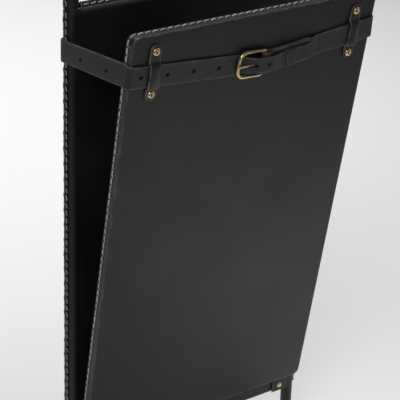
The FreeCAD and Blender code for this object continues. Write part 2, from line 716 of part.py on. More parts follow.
# ---------------------------------------------------------------- hinge tabs and studs
HINGE_AXIS = PANEL_PLACE.multVec(Vector(0, HINGE_R, -PANEL_T + HINGE_R))


def stud_shank(side):
    z = PANEL_Z - STUD_DROP
    x = side * TAB_X
    return cylinder(STUD_SHANK_R, Vector(x, HINGE_AXIS.y, z), Vector(x, UPRIGHT_Y, z))


def hinge_tab(side):
    """A leather tab: riveted to the cross tube, round the panel's bottom edge, up its rear."""
    reach = HINGE_R + CLOSE_FIT + TAB_T / 2
    tilt = math.radians(PANEL_TILT)
    axis_y, axis_z = HINGE_AXIS.y, HINGE_AXIS.z
    y = axis_y + reach
    bend = (y, axis_z + reach * math.tan(tilt / 2))
    top = (bend[0] - TAB_UP * math.sin(tilt), bend[1] + TAB_UP * math.cos(tilt))
    path = [(y, CROSS_Z - 5), bend, top]
    strip = ribbon(path, [reach], TAB_T).extrude(Z * TAB_W)
    strip.translate(Z * -TAB_W / 2)
    strip.rotate(Vector(), Vector(1, 1, 1), 120)
    strip.translate(X * side * TAB_X)
    return strip.cut(stud_shank(side))


def hinge_stud(side):
    z = PANEL_Z - STUD_DROP
    x = side * TAB_X
    face_y = HINGE_AXIS.y + HINGE_R + CLOSE_FIT
    head = cylinder(STUD_HEAD_R, Vector(x, face_y, z), Vector(x, face_y - STUD_HEAD_H, z))
    rim = [e for e in head.Edges if e.BoundBox.YMax < face_y - STUD_HEAD_H + 0.01]
    head = head.makeFillet(STUD_HEAD_H * 0.9, rim)
    end_y = UPRIGHT_Y - TUBE_R + TUBE_WALL
    shank = cylinder(STUD_SHANK_R, Vector(x, face_y - 0.5, z), Vector(x, end_y, z))
    return head.fuse(shank).removeSplitter()


# ---------------------------------------------------------------- write every sub-part
def make_parts():
    parts = {
        "frame_tube": frame_tube(),
        "cross_tube": cross_tube(),
        "handle_leather": handle_leather(),
        "handle_thread": handle_thread(),
        "back_board": back_board(),
        "back_front_leather": back_front_leather(),
        "back_rear_leather": back_rear_leather(),
        "back_top_thread": back_top_thread(),
        "rear_loop_rivets": rear_loop_rivets(),
        "belt_rear_run": belt_rear_run(),
        "front_board": front_board(),
        "front_face_leather": front_face_leather(),
        "front_rear_leather": front_rear_leather(),
        "front_edge_thread": front_edge_thread(),
        "front_loop_rivets": front_loop_rivets(),
        "belt_tongue": belt_tongue(),
        "belt_buckle_strap": belt_buckle_strap(),
        "buckle_frame": buckle_frame(),
        "buckle_prong": buckle_prong(),
        "belt_keeper": belt_keeper(),
    }
    for name, side in (("left", -1), ("right", 1)):
        parts[name + "_foot_tube"] = foot_tube(side)
        parts[name + "_foot_leather"] = foot_leather(side)
        parts[name + "_front_foot_cap"] = foot_cap(side, -1)
        parts[name + "_rear_foot_cap"] = foot_cap(side, 1)
        parts[name + "_leg_leather"] = leg_leather(side)
        parts[name + "_side_thread"] = back_side_thread(side)
        parts[name + "_front_loop"] = front_loop(side)
        parts[name + "_rear_loop"] = rear_loop(side)
        parts[name + "_hinge_tab"] = hinge_tab(side)
        parts[name + "_hinge_stud"] = hinge_stud(side)
        parts[name + "_belt_span"] = belt_side_span(side)
    return parts


def main():
    os.makedirs("parts", exist_ok=True)
    for name, shape in sorted(make_parts().items()):
        if not shape.isValid() or not shape.Solids:
            raise ValueError("bad solid: " + name)
        shape.exportStep(os.path.join("parts", name + ".step"))
        bounds = shape.BoundBox
        print("%-22s solids %2d  volume %9.1f  z %6.1f..%6.1f" % (
            name, len(shape.Solids), shape.Volume, bounds.ZMin, bounds.ZMax))
    print("hinge axis", HINGE_AXIS)
    for name, place in (("buckle", BUCKLE_PLACE), ("keeper", KEEPER_PLACE)):
        point = PANEL_PLACE.multVec(place.multVec(Vector(0, 0, BAR_W)))
        turn = PANEL_PLACE.Rotation.multiply(place.Rotation)
        print(name, "point", point, "along", turn.multVec(X), "across", turn.multVec(Y))


main()
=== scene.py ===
"""Looks of a magazine rack in saddle-stitched leather, laid out as an add-on and run as a script.

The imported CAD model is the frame.  Each operator builds one piece, or one group of like pieces,
where the CAD node that it stands for lies.  Lengths are metres.  The front board has a frame of
its own: u across, v up its slope and w out of its front face.
"""
import json
import math
import random

import bmesh
import bpy
from bpy.props import FloatProperty, FloatVectorProperty, IntProperty, PointerProperty
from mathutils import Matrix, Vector


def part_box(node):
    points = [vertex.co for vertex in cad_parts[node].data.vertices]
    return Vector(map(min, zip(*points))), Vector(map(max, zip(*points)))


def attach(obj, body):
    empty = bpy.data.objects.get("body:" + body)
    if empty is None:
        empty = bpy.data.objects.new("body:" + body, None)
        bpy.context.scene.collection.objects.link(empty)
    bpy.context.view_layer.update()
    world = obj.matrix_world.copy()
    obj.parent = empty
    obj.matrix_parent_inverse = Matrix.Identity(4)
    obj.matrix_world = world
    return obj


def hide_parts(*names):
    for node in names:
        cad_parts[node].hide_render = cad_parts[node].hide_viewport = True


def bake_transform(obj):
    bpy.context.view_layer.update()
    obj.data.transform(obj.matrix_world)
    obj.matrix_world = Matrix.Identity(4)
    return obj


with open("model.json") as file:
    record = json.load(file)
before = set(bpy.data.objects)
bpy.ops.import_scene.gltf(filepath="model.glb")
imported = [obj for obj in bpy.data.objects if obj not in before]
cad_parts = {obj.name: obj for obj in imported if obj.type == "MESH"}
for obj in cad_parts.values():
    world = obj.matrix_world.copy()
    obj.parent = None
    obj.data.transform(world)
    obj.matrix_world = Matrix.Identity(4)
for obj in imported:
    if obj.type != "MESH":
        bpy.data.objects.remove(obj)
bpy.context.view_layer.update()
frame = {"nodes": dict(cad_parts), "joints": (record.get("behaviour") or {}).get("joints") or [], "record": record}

bl_info = {
    "name": "Magazine Rack in Stitched Leather",
    "version": (1, 0, 0),
    "blender": (4, 5, 0),
    "location": "3D View > Sidebar > Rack",
    "description": "Builds the leather, stitches, belt and brass of a magazine rack",
    "category": "Object",
}

MM = 0.001
X = Vector((1, 0, 0))
Y = Vector((0, 1, 0))
Z = Vector((0, 0, 1))

# ---------------------------------------------------------------- places read from the frame
JOINTS = {joint["name"]: joint for joint in frame["joints"]}
HINGE = Vector(JOINTS["panel_tilt"]["pos_m"])
BAR = Vector(JOINTS["buckle_tilt"]["pos_m"])
BAR_AXIS = Vector(JOINTS["buckle_tilt"]["axis"]).normalized()
PANEL_TILT = math.atan2(-BAR_AXIS.y, BAR_AXIS.z)
U = X
V = Vector((0, -math.sin(PANEL_TILT), math.cos(PANEL_TILT)))
W = Vector((0, -math.cos(PANEL_TILT), -math.sin(PANEL_TILT)))
HINGE_ROUND = 3 * MM                 # the hinge axis is the centre of the board's rear edge
PANEL_T = 14 * MM
PANEL_ORIGIN = HINGE - V * HINGE_ROUND + W * (PANEL_T - HINGE_ROUND)


def reach(node, direction, origin=Vector()):
    """How far a CAD node lies along a direction, as (least, most)."""
    found = [(v.co - origin).dot(direction) for v in frame["nodes"][node].data.vertices]
    return min(found), max(found)


PANEL_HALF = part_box("front_face_leather")[1].x
PANEL_LENGTH = reach("front_face_leather", V, PANEL_ORIGIN)[1]
SEAM_W = reach("front_face_leather", W, PANEL_ORIGIN)[0]
TUBE_R = 5.5 * MM
SHEATH_R = 7.0 * MM
LEATHER = 1.4 * MM
UPRIGHT_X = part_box("frame_tube")[1].x - TUBE_R
UPRIGHT_Y = (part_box("frame_tube")[0].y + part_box("frame_tube")[1].y) / 2
HANDLE_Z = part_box("frame_tube")[1].z - TUBE_R
HANDLE_BEND = 45 * MM
CROSS_Z = (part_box("cross_tube")[0].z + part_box("cross_tube")[1].z) / 2
FOOT_Z = (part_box("left_foot_tube")[0].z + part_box("left_foot_tube")[1].z) / 2
FLANGE_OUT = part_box("back_front_leather")[1].x - UPRIGHT_X
BACK_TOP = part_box("left_side_thread")[1].z
STITCH_OUT = (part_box("right_side_thread")[0].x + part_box("right_side_thread")[1].x) / 2 - UPRIGHT_X
BELT_BACK_Z = (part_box("belt_rear_run")[0].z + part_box("belt_rear_run")[1].z) / 2
BELT_BACK_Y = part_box("belt_rear_run")[1].y
SPAN_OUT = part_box("belt_rear_run")[1].x

# Height of the belt's centre line up the front board, at these distances across it
BELT_LINE = [(-175 * MM, 492.0 * MM), (-40 * MM, 480.8 * MM), (22 * MM, 477.6 * MM),
             (175 * MM, 493.3 * MM)]
BELT_LINE_BEND = 150 * MM
BELT_AIR = 0.2 * MM
LOOP_U = 132 * MM
FRONT_LOOPS = {-1: (491.9 * MM, 48.8 * MM), 1: (490.5 * MM, 51.0 * MM)}   # middle, rivet spacing
REAR_LOOP_X = 112 * MM
REAR_RIVET_SPACING = 48 * MM
TAB_X = 141 * MM
STUD_DROP = 17.6 * MM
BAR_U = (BAR - PANEL_ORIGIN).dot(U)
BAR_W = (BAR - PANEL_ORIGIN).dot(W)
KEEPER_U = 43 * MM


def on_panel(u, v, w):
    return PANEL_ORIGIN + U * u + V * v + W * w


# ---------------------------------------------------------------- settings
def length(name, description, default):
    return FloatProperty(name=name, description=description, default=default, min=0.0,
                         subtype="DISTANCE", unit="LENGTH")


def colour(name, description, default):
    return FloatVectorProperty(name=name, description=description, default=default, size=3,
                               min=0.0, max=1.0, subtype="COLOR")


class RackLeatherSettings(bpy.types.PropertyGroup):
    cover: colour("Cover", "Colour of the cover leather", (0.0085, 0.0083, 0.0085))
    strap: colour("Strap", "Colour of the belt and loops", (0.024, 0.0235, 0.0235))
    # The worn edge colour is lighter than the leather. It paints rubbing and also a thin painted highlight along
    # folds and strap edges.
    wear_and_painted_highlight: colour("Worn edge", "Colour that shows where an edge has worn", (0.135, 0.13, 0.124))
    grain: length("Grain", "Size of one cell of the leather's grain", 1.1 * MM)


class RackStitchSettings(bpy.types.PropertyGroup):
    thread: colour("Thread", "Colour of the waxed thread", (0.74, 0.68, 0.55))
    pitch: length("Pitch", "Distance from one stitch to the next", 9.0 * MM)
    reach: length("Stitch length", "Length of one stitch", 8.1 * MM)
    radius: length("Thread radius", "Half the thread's thickness", 0.78 * MM)
    slant: FloatProperty(name="Slant", description="Lean of each stitch off its row",
                         default=math.radians(8), subtype="ANGLE", unit="ROTATION")


class RackBeltSettings(bpy.types.PropertyGroup):
    width: length("Width", "Width of the belt", 24.6 * MM)
    thickness: length("Thickness", "Thickness of the belt", 2.4 * MM)
    tongue_width: length("Tongue width", "Width of the tongue, from the buckle on", 17.4 * MM)
    hole_radius: length("Hole radius", "Radius of the punched holes", 2.4 * MM)
    hole_pitch: length("Hole pitch", "Distance between holes on the front", 33 * MM)
    front_holes: IntProperty(name="Front holes", description="Holes left of the buckle",
                             default=4, min=1, max=6)


class RackBrassSettings(bpy.types.PropertyGroup):
    brass: colour("Brass", "Colour of polished brass", (0.80, 0.62, 0.34))
    tarnish: colour("Tarnish", "Colour of tarnished brass", (0.33, 0.22, 0.10))
    wire_radius: length("Wire radius", "Half the thickness of the buckle's wire", 1.7 * MM)
    rivet_radius: length("Rivet radius", "Radius of a loop rivet's head", 4.3 * MM)
    stud_radius: length("Stud radius", "Radius of a hinge stud's head", 3.85 * MM)


class RackStageSettings(bpy.types.PropertyGroup):
    floor: colour("Floor", "Colour of the floor", (0.86, 0.86, 0.86))
    azimuth: FloatProperty(name="Azimuth", description="Turn of the camera round the rack",
                           default=math.radians(36.86), subtype="ANGLE", unit="ROTATION")
    elevation: FloatProperty(name="Elevation", description="Height of the camera's view",
                             default=math.radians(24.47), subtype="ANGLE", unit="ROTATION")
    roll: FloatProperty(name="Roll", description="Roll of the camera",
                        default=math.radians(1.97), subtype="ANGLE", unit="ROTATION")
    place: FloatVectorProperty(name="Camera place", size=3, default=(-1.0089, -1.340, 1.0428),
                               description="Camera, from the front board's lower front edge",
                               subtype="TRANSLATION", unit="LENGTH")
    lens: FloatProperty(name="Lens", description="Focal length", default=145.44, min=10.0)


# ---------------------------------------------------------------- paths
def rounded_path(points, radii, step):
    """Points along straight runs and rounded corners, in a plane, about a step apart."""
    path = [Vector(p) for p in points]
    found = [path[0]]

    def run_to(end):
        start = found[-1]
        count = max(1, round((end - start).length / step))
        found.extend(start.lerp(end, (k + 1) / count) for k in range(count))

    for i in range(1, len(path) - 1):
        way_in = (path[i] - path[i - 1]).normalized()
        way_out = (path[i + 1] - path[i]).normalized()
        turn = way_in.angle(way_out)
        side = 1.0 if way_in.x * way_out.y - way_in.y * way_out.x > 0 else -1.0
        radius = radii[i - 1]
        start = path[i] - way_in * radius * math.tan(turn / 2)
        centre = start + Vector((-way_in.y, way_in.x)) * side * radius
        if (start - found[-1]).length > 1e-7:
            run_to(start)
        count = max(3, math.ceil(turn / math.radians(12)), round(turn * radius / step))
        spoke = start - centre
        for k in range(1, count + 1):
            angle = side * turn * k / count
            cos, sin = math.cos(angle), math.sin(angle)
            found.append(centre + Vector((spoke.x * cos - spoke.y * sin,
                                          spoke.x * sin + spoke.y * cos)))
    run_to(path[-1])
    return found


BELT_CURVE = rounded_path(BELT_LINE, [BELT_LINE_BEND] * 2, 2 * MM)


def belt_height(u):
    """Height of the belt's centre line on the front board."""
    for a, b in zip(BELT_CURVE, BELT_CURVE[1:]):
        if u <= b.x:
            return a.y + (b.y - a.y) * (u - a.x) / (b.x - a.x)
    return BELT_CURVE[-1].y


def belt_slope(u):
    near = 1 * MM
    return math.atan2(belt_height(u + near) - belt_height(u - near), 2 * near)


def outline(half_width, low, high, corner, spacing):
    """A rounded rectangle as (point, outward normal, length so far), points evenly spaced."""
    corner = max(corner, 0.05 * MM)
    centres = [(half_width - corner, low + corner, -90), (half_width - corner, high - corner, 0),
               (-half_width + corner, high - corner, 90), (-half_width + corner, low + corner, 180)]
    found = []
    so_far = 0.0
    for k, (cu, cv, first) in enumerate(centres):
        arc = corner * math.pi / 2
        count = max(2, round(8 * MM * math.pi / 2 / spacing))
        for i in range(count):
            angle = math.radians(first + 90 * i / count)
            normal = Vector((math.cos(angle), math.sin(angle)))
            found.append((Vector((cu, cv)) + normal * corner, normal, so_far + arc * i / count))
        so_far += arc
        nu, nv, _ = centres[(k + 1) % 4]
        angle = math.radians(first + 90)
        normal = Vector((math.cos(angle), math.sin(angle)))
        start = Vector((cu, cv)) + normal * corner
        end = Vector((nu, nv)) + normal * corner
        full = (2 * PANEL_HALF if k in (1, 3) else PANEL_LENGTH) - 16 * MM
        count = max(2, round(full / spacing))
        for i in range(count):
            found.append((start.lerp(end, i / count), normal, so_far + full * i / count))
        so_far += full
    return found


# ---------------------------------------------------------------- meshes
def new_object(name, points, faces, edge=None, smooth_under=50):
    """A mesh object, shaded smooth where faces meet under an angle, edge marking where it is rubbed and where a
    painted highlight goes.
    """
    mesh = bpy.data.meshes.new(name)
    mesh.from_pydata([tuple(p) for p in points], [], faces)
    if edge is not None:
        mark = mesh.attributes.new("edge", "FLOAT", "POINT")
        mark.data.foreach_set("value", edge)
    obj = bpy.data.objects.new(name, mesh)
    bpy.context.scene.collection.objects.link(obj)
    tidy(obj, smooth_under)
    return obj


def tidy(obj, smooth_under=50):
    shell = bmesh.new()
    shell.from_mesh(obj.data)
    bmesh.ops.remove_doubles(shell, verts=shell.verts, dist=1e-6)
    bmesh.ops.recalc_face_normals(shell, faces=shell.faces)
    shell.to_mesh(obj.data)
    shell.free()
    obj.data.polygons.foreach_set("use_smooth", [True] * len(obj.data.polygons))
    obj.data.set_sharp_from_angle(angle=math.radians(smooth_under))


def baked(obj):
    """Apply the object's modifiers."""
    seen = obj.evaluated_get(bpy.context.evaluated_depsgraph_get())
    mesh = bpy.data.meshes.new_from_object(seen)
    obj.modifiers.clear()
    obj.data = mesh
    return obj


def thickened(obj, thickness, outward):
    """Give an open sheet its thickness, grown inward from the side that looks outward."""
    faces = obj.data.polygons
    if sum((face.normal * face.area for face in faces), Vector()).dot(outward) < 0:
        obj.data.flip_normals()
    shell = obj.modifiers.new("thickness", "SOLIDIFY")
    shell.thickness = thickness
    shell.offset = -1.0
    shell.use_quality_normals = True
    return baked(obj)


def grid_faces(rows, columns, close_rows=False, close_columns=False):
    faces = []
    for i in range(rows if close_rows else rows - 1):
        for j in range(columns if close_columns else columns - 1):
            a, b = i * columns + j, i * columns + (j + 1) % columns
            c, d = (i + 1) % rows * columns + (j + 1) % columns, (i + 1) % rows * columns + j
            faces.append((a, b, c, d))
    return faces


def sweep(name, stations, closed=False, smooth_under=50):
    """A solid through stations of (centre, across, normal, section, edge marks)."""
    points, marks = [], []
    columns = len(stations[0][3])
    for centre, across, normal, section, edge in stations:
        points += [centre + across * a + normal * n for a, n in section]
        marks += edge
    faces = grid_faces(len(stations), columns, closed, True)
    if not closed:
        faces.append(tuple(range(columns - 1, -1, -1)))
        last = (len(stations) - 1) * columns
        faces.append(tuple(range(last, last + columns)))
    return new_object(name, points, faces, marks, smooth_under)


def strap_section(width, thickness, rounding=0.7 * MM, crown=0.0):
    """A strap's cross section with burnished corners, and how much edge tint each point takes, for rubbing and a
    painted highlight.
    """
    half, deep = width / 2, thickness / 2
    corner = min(rounding, deep * 0.9)
    section, edge = [], []
    for sa, sn, first in ((1, 1, 0), (-1, 1, 90), (-1, -1, 180), (1, -1, 270)):
        for k in range(4):
            angle = math.radians(first + 30 * k)
            section.append((sa * (half - corner) + corner * math.cos(angle),
                            sn * (deep - corner) + corner * math.sin(angle)))
            edge.append(1.0)
        if sn == 1 and sa == 1 or sn == -1 and sa == -1:
            for share in (0.9, 0.6, 0.2, -0.2, -0.6, -0.9):
                a = sa * (half - corner) * share
                section.append((a, sn * (deep + crown * (1 - share * share))))
                edge.append(0.25 if abs(share) > 0.8 else 0.0)
    return section, edge


def ring_section(radius, count=16, flat=1.0):
    section = [(radius * math.cos(2 * math.pi * k / count),
                flat * radius * math.sin(2 * math.pi * k / count)) for k in range(count)]
    return section, [0.0] * count


def lathe(name, profile, centre, axis, side, count=40, smooth_under=35):
    """A turned piece: profile of (radius, height) round an axis."""
    other = axis.cross(side)
    points, faces = [], []
    for radius, height in profile:
        for k in range(count):
            angle = 2 * math.pi * k / count
            points.append(centre + axis * height
                          + (side * math.cos(angle) + other * math.sin(angle)) * radius)
    faces = grid_faces(len(profile), count, False, True)
    return new_object(name, points, faces, [0.0] * len(points), smooth_under)


def joined(name, objects):
    """Several objects as one."""
    bpy.ops.object.select_all(action="DESELECT")
    for obj in objects:
        obj.select_set(True)
    bpy.context.view_layer.objects.active = objects[0]
    bpy.ops.object.join()
    objects[0].name = name
    objects[0].data.name = name
    return objects[0]


def punched(obj, cutters, smooth_under=50):
    """Cut holes through a piece."""
    tool = joined("punch", cutters)
    cut = obj.modifiers.new("holes", "BOOLEAN")
    cut.operation = "DIFFERENCE"
    cut.solver = "EXACT"
    cut.object = tool
    baked(obj)
    bpy.data.objects.remove(tool)
    obj.data.set_sharp_from_angle(angle=math.radians(smooth_under))
    return obj


def finished(obj, material, slot, body, *nodes):
    """Give a piece its material, its CAD nodes and the body that it rides on."""
    obj.data.materials.clear()
    obj.data.materials.append(material)
    if nodes:
        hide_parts(*nodes)
    if body:
        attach(obj, body)
    return obj


def ripple(where, period, phase=0.0):
    """0 at a stitch hole, 1 midway between two."""
    return 0.5 - 0.5 * math.cos(2 * math.pi * where / period + phase)


def drift(*where):
    """A slow wander between about -1 and 1."""
    a, b = where[0], where[1] if len(where) > 1 else 0.0
    return 0.5 * (math.sin(41 * a + 1.3 + 17 * b) + math.sin(97 * a - 0.6 - 29 * b))


# ---------------------------------------------------------------- shader groups
def put(tree, kind, values=None, **settings):
    """A node with its settings and input values."""
    node = tree.nodes.new(kind)
    for name, value in settings.items():
        setattr(node, name, value)
    for name, value in (values or {}).items():
        if isinstance(value, bpy.types.NodeSocket):
            tree.links.new(value, node.inputs[name])
        else:
            node.inputs[name].default_value = value
    return node


def rgb(value):
    return (*value, 1.0)


def group(name, inputs, outputs):
    """An empty shader group with named sockets, and its two end nodes."""
    tree = bpy.data.node_groups.new(name, "ShaderNodeTree")
    for socket, kind, value in inputs:
        made = tree.interface.new_socket(name=socket, in_out="INPUT", socket_type=kind)
        if value is not None:
            made.default_value = value
    for socket, kind in outputs:
        tree.interface.new_socket(name=socket, in_out="OUTPUT", socket_type=kind)
    return tree, tree.nodes.new("NodeGroupInput"), tree.nodes.new("NodeGroupOutput")


def math_node(tree, operation, a, b, clamp=False):
    node = put(tree, "ShaderNodeMath", operation=operation, use_clamp=clamp)
    for socket, value in zip(node.inputs, (a, b)):
        if isinstance(value, bpy.types.NodeSocket):
            tree.links.new(value, socket)
        else:
            socket.default_value = value
    return node.outputs[0]


def remap(tree, value, low, high, to_low, to_high):
    node = put(tree, "ShaderNodeMapRange", {"Value": value, "From Min": low, "From Max": high,
                                            "To Min": to_low, "To Max": to_high})
    return node.outputs["Result"]


def mix_colour(tree, fac, a, b):
    node = put(tree, "ShaderNodeMix", data_type="RGBA")
    for socket, value in zip((node.inputs[0], node.inputs[6], node.inputs[7]), (fac, a, b)):
        if isinstance(value, bpy.types.NodeSocket):
            tree.links.new(value, socket)
        else:
            socket.default_value = value
    return node.outputs[2]


def leather_grain_group():
    """Pebbled grain with fine pores and soft creases, as a height and a pore mask."""
    tree, given, result = group(
        "leather_grain",
        [("Cell Size", "NodeSocketFloat", 1.1 * MM), ("Crease", "NodeSocketFloat", 0.4)],
        [("Height", "NodeSocketFloat"), ("Pores", "NodeSocketFloat"),
         ("Blotches", "NodeSocketFloat")])
    place = put(tree, "ShaderNodeTexCoord").outputs["Object"]
    scale = math_node(tree, "DIVIDE", 1.0, given.outputs["Cell Size"])
    bend = put(tree, "ShaderNodeTexNoise", {"Vector": place, "Scale": 240.0, "Detail": 2.0})
    bent = put(tree, "ShaderNodeVectorMath", {"Scale": 0.0009}, operation="SCALE")
    tree.links.new(bend.outputs["Color"], bent.inputs[0])
    moved = put(tree, "ShaderNodeVectorMath", operation="ADD")
    tree.links.new(place, moved.inputs[0])
    tree.links.new(bent.outputs[0], moved.inputs[1])
    cells = put(tree, "ShaderNodeTexVoronoi", {"Vector": moved.outputs[0], "Scale": scale},
                feature="DISTANCE_TO_EDGE")
    pebble = remap(tree, cells.outputs["Distance"], 0.0, 0.22, 0.0, 1.0)
    fine = put(tree, "ShaderNodeTexNoise", {"Vector": place, "Scale": 2600.0, "Detail": 3.0})
    crease = put(tree, "ShaderNodeTexNoise", {"Vector": place, "Scale": 70.0, "Detail": 6.0,
                                              "Roughness": 0.6})
    creased = math_node(tree, "MULTIPLY", crease.outputs["Fac"], given.outputs["Crease"])
    rough = math_node(tree, "MULTIPLY", fine.outputs["Fac"], 0.45)
    height = math_node(tree, "ADD", math_node(tree, "ADD", pebble, rough), creased)
    broad = put(tree, "ShaderNodeTexNoise", {"Vector": place, "Scale": 14.0, "Detail": 5.0,
                                             "Roughness": 0.62})
    tree.links.new(height, result.inputs["Height"])
    tree.links.new(remap(tree, pebble, 0.0, 0.5, 1.0, 0.0), result.inputs["Pores"])
    tree.links.new(remap(tree, broad.outputs["Fac"], 0.35, 0.68, 0.0, 1.0),
                   result.inputs["Blotches"])
    return tree


def edge_wear_and_painted_highlight_group():
    """Wear along edges, and a painted highlight laid along them too: the mesh's own edge marks, broken up so that
    no edge wears evenly.
    """
    tree, given, result = group(
        "edge_wear_and_painted_highlight", [("Amount", "NodeSocketFloat", 0.5), ("Break Up", "NodeSocketFloat", 60.0)],
        [("Wear And Painted Highlight", "NodeSocketFloat")])
    place = put(tree, "ShaderNodeTexCoord").outputs["Object"]
    marks = put(tree, "ShaderNodeAttribute", attribute_name="edge", attribute_type="GEOMETRY")
    chips = put(tree, "ShaderNodeTexNoise", {"Vector": place, "Detail": 6.0, "Roughness": 0.7})
    tree.links.new(given.outputs["Break Up"], chips.inputs["Scale"])
    broken = remap(tree, chips.outputs["Fac"], 0.38, 0.62, 0.1, 1.0)
    wear_and_painted_highlight = math_node(tree, "MULTIPLY", math_node(tree, "POWER", marks.outputs["Fac"], 1.6), broken)
    wear_and_painted_highlight_amount = math_node(tree, "MULTIPLY", wear_and_painted_highlight, given.outputs["Amount"], clamp=True)
    tree.links.new(wear_and_painted_highlight_amount, result.inputs["Wear And Painted Highlight"])
    return tree


def dust_group():
    """Fine dust and lint that lies on surfaces facing up."""
    tree, given, result = group("settled_dust", [("Amount", "NodeSocketFloat", 0.2)],
                                [("Dust", "NodeSocketFloat")])
    place = put(tree, "ShaderNodeTexCoord").outputs["Object"]
    facing = put(tree, "ShaderNodeSeparateXYZ")
    tree.links.new(put(tree, "ShaderNodeNewGeometry").outputs["Normal"], facing.inputs[0])
    up = remap(tree, facing.outputs["Z"], 0.2, 1.0, 0.0, 1.0)
    specks = put(tree, "ShaderNodeTexNoise", {"Vector": place, "Scale": 900.0, "Detail": 4.0})
    thin = remap(tree, specks.outputs["Fac"], 0.45, 0.75, 0.0, 1.0)
    laid = math_node(tree, "MULTIPLY", math_node(tree, "MULTIPLY", up, thin),
                     given.outputs["Amount"], clamp=True)
    tree.links.new(laid, result.inputs["Dust"])
    return tree


def tarnish_group():
    """Brass that has dulled in patches, with fine polishing scratches."""
    tree, given, result = group(
        "tarnish", [("Patch Scale", "NodeSocketFloat", 300.0)],
        [("Tarnish", "NodeSocketFloat"), ("Scratches", "NodeSocketFloat")])
    place = put(tree, "ShaderNodeTexCoord").outputs["Object"]
    patches = put(tree, "ShaderNodeTexNoise", {"Vector": place, "Detail": 6.0, "Roughness": 0.65})
    tree.links.new(given.outputs["Patch Scale"], patches.inputs["Scale"])
    stretch = put(tree, "ShaderNodeMapping", {"Vector": place})
    stretch.inputs["Scale"].default_value = (400.0, 5200.0, 2600.0)
    lines = put(tree, "ShaderNodeTexNoise", {"Vector": stretch.outputs[0], "Scale": 1.0,
                                             "Detail": 3.0})
    tree.links.new(remap(tree, patches.outputs["Fac"], 0.42, 0.7, 0.0, 1.0),
                   result.inputs["Tarnish"])
    tree.links.new(lines.outputs["Fac"], result.inputs["Scratches"])
    return tree


GROUP_MAKERS = {"leather_grain": leather_grain_group, "edge_wear_and_painted_highlight": edge_wear_and_painted_highlight_group,
                "settled_dust": dust_group, "tarnish": tarnish_group}


def use_group(tree, name, **values):
    shared = bpy.data.node_groups.get(name) or GROUP_MAKERS[name]()
    node = tree.nodes.new("ShaderNodeGroup")
    node.node_tree = shared
    for socket, value in values.items():
        node.inputs[socket.replace("_", " ")].default_value = value
    return node


# ---------------------------------------------------------------- materials
def blank_material(name, **values):
    """A material holding a Principled shader with these plain values."""
    made = bpy.data.materials.new(name)
    made.use_nodes = True
    tree = made.node_tree
    shader = tree.nodes["Principled BSDF"]
    for socket, value in values.items():
        shader.inputs[socket.replace("_", " ")].default_value = value
    return made, tree, shader


def bump(tree, shader, height, strength, distance):
    node = put(tree, "ShaderNodeBump", {"Height": height, "Strength": strength,
                                        "Distance": distance})
    tree.links.new(node.outputs["Normal"], shader.inputs["Normal"])


def leather_material(name, dark, light, roughness, grain_height, crease, wear_and_painted_highlight_amount):
    """Dyed leather: grain, blotches, pores darkened with painted shade, and edges tinted lighter for rubbing and a
    painted highlight.
    """
    known = bpy.data.materials.get(name)
    if known:
        return known
    settings = bpy.context.scene.rack_leather
    made, tree, shader = blank_material(name, Specular_IOR_Level=0.42)
    grain = use_group(tree, "leather_grain", Cell_Size=settings.grain, Crease=crease)
    edges = use_group(tree, "edge_wear_and_painted_highlight", Amount=wear_and_painted_highlight_amount, Break_Up=110.0)
    dust = use_group(tree, "settled_dust", Amount=0.12)
    dyed = mix_colour(tree, grain.outputs["Blotches"], rgb(dark), rgb(light))
    # Painted shade: the pores, which are the crevices between the grain's pebbles, are darkened in the colour.
    painted_pore_shade = mix_colour(tree, math_node(tree, "MULTIPLY", grain.outputs["Pores"], 0.5), dyed,
                       rgb([c * 0.4 for c in dark]))
    # Edge tint: rubbing along the edges, and a painted highlight on the folds and strap edges.
    wear_and_painted_highlight = mix_colour(tree, edges.outputs["Wear And Painted Highlight"], painted_pore_shade, rgb(settings.wear_and_painted_highlight))
    dusty = mix_colour(tree, dust.outputs["Dust"], wear_and_painted_highlight, rgb((0.2, 0.19, 0.18)))
    tree.links.new(dusty, shader.inputs["Base Color"])
    patchy = remap(tree, grain.outputs["Blotches"], 0.0, 1.0, roughness - 0.05, roughness + 0.06)
    dulled = math_node(tree, "ADD", patchy,
                       math_node(tree, "MULTIPLY", grain.outputs["Pores"], 0.12))
    tree.links.new(dulled, shader.inputs["Roughness"])
    bump(tree, shader, grain.outputs["Height"], 0.35, grain_height)
    return made


def cover_leather():
    base = bpy.context.scene.rack_leather.cover
    return leather_material("cover_leather_black", [c * 0.85 for c in base],
                            [c * 1.35 for c in base], 0.40, 0.09 * MM, 0.5, 0.55)


def strap_leather():
    base = bpy.context.scene.rack_leather.strap
    # The edge tint gives the belt thin light lines along its edges. These are a painted highlight as well as
    # rubbing.
    return leather_material("strap_leather_black", [c * 0.8 for c in base],
                            [c * 1.3 for c in base], 0.47, 0.07 * MM, 0.9, 0.75)


def loop_leather():
    base = bpy.context.scene.rack_leather.cover
    # The strong edge tint paints light rims round the loops, besides their rubbing.
    return leather_material("loop_leather_polished", [c * 0.9 for c in base],
                            [c * 1.5 for c in base], 0.17, 0.05 * MM, 0.6, 1.3)


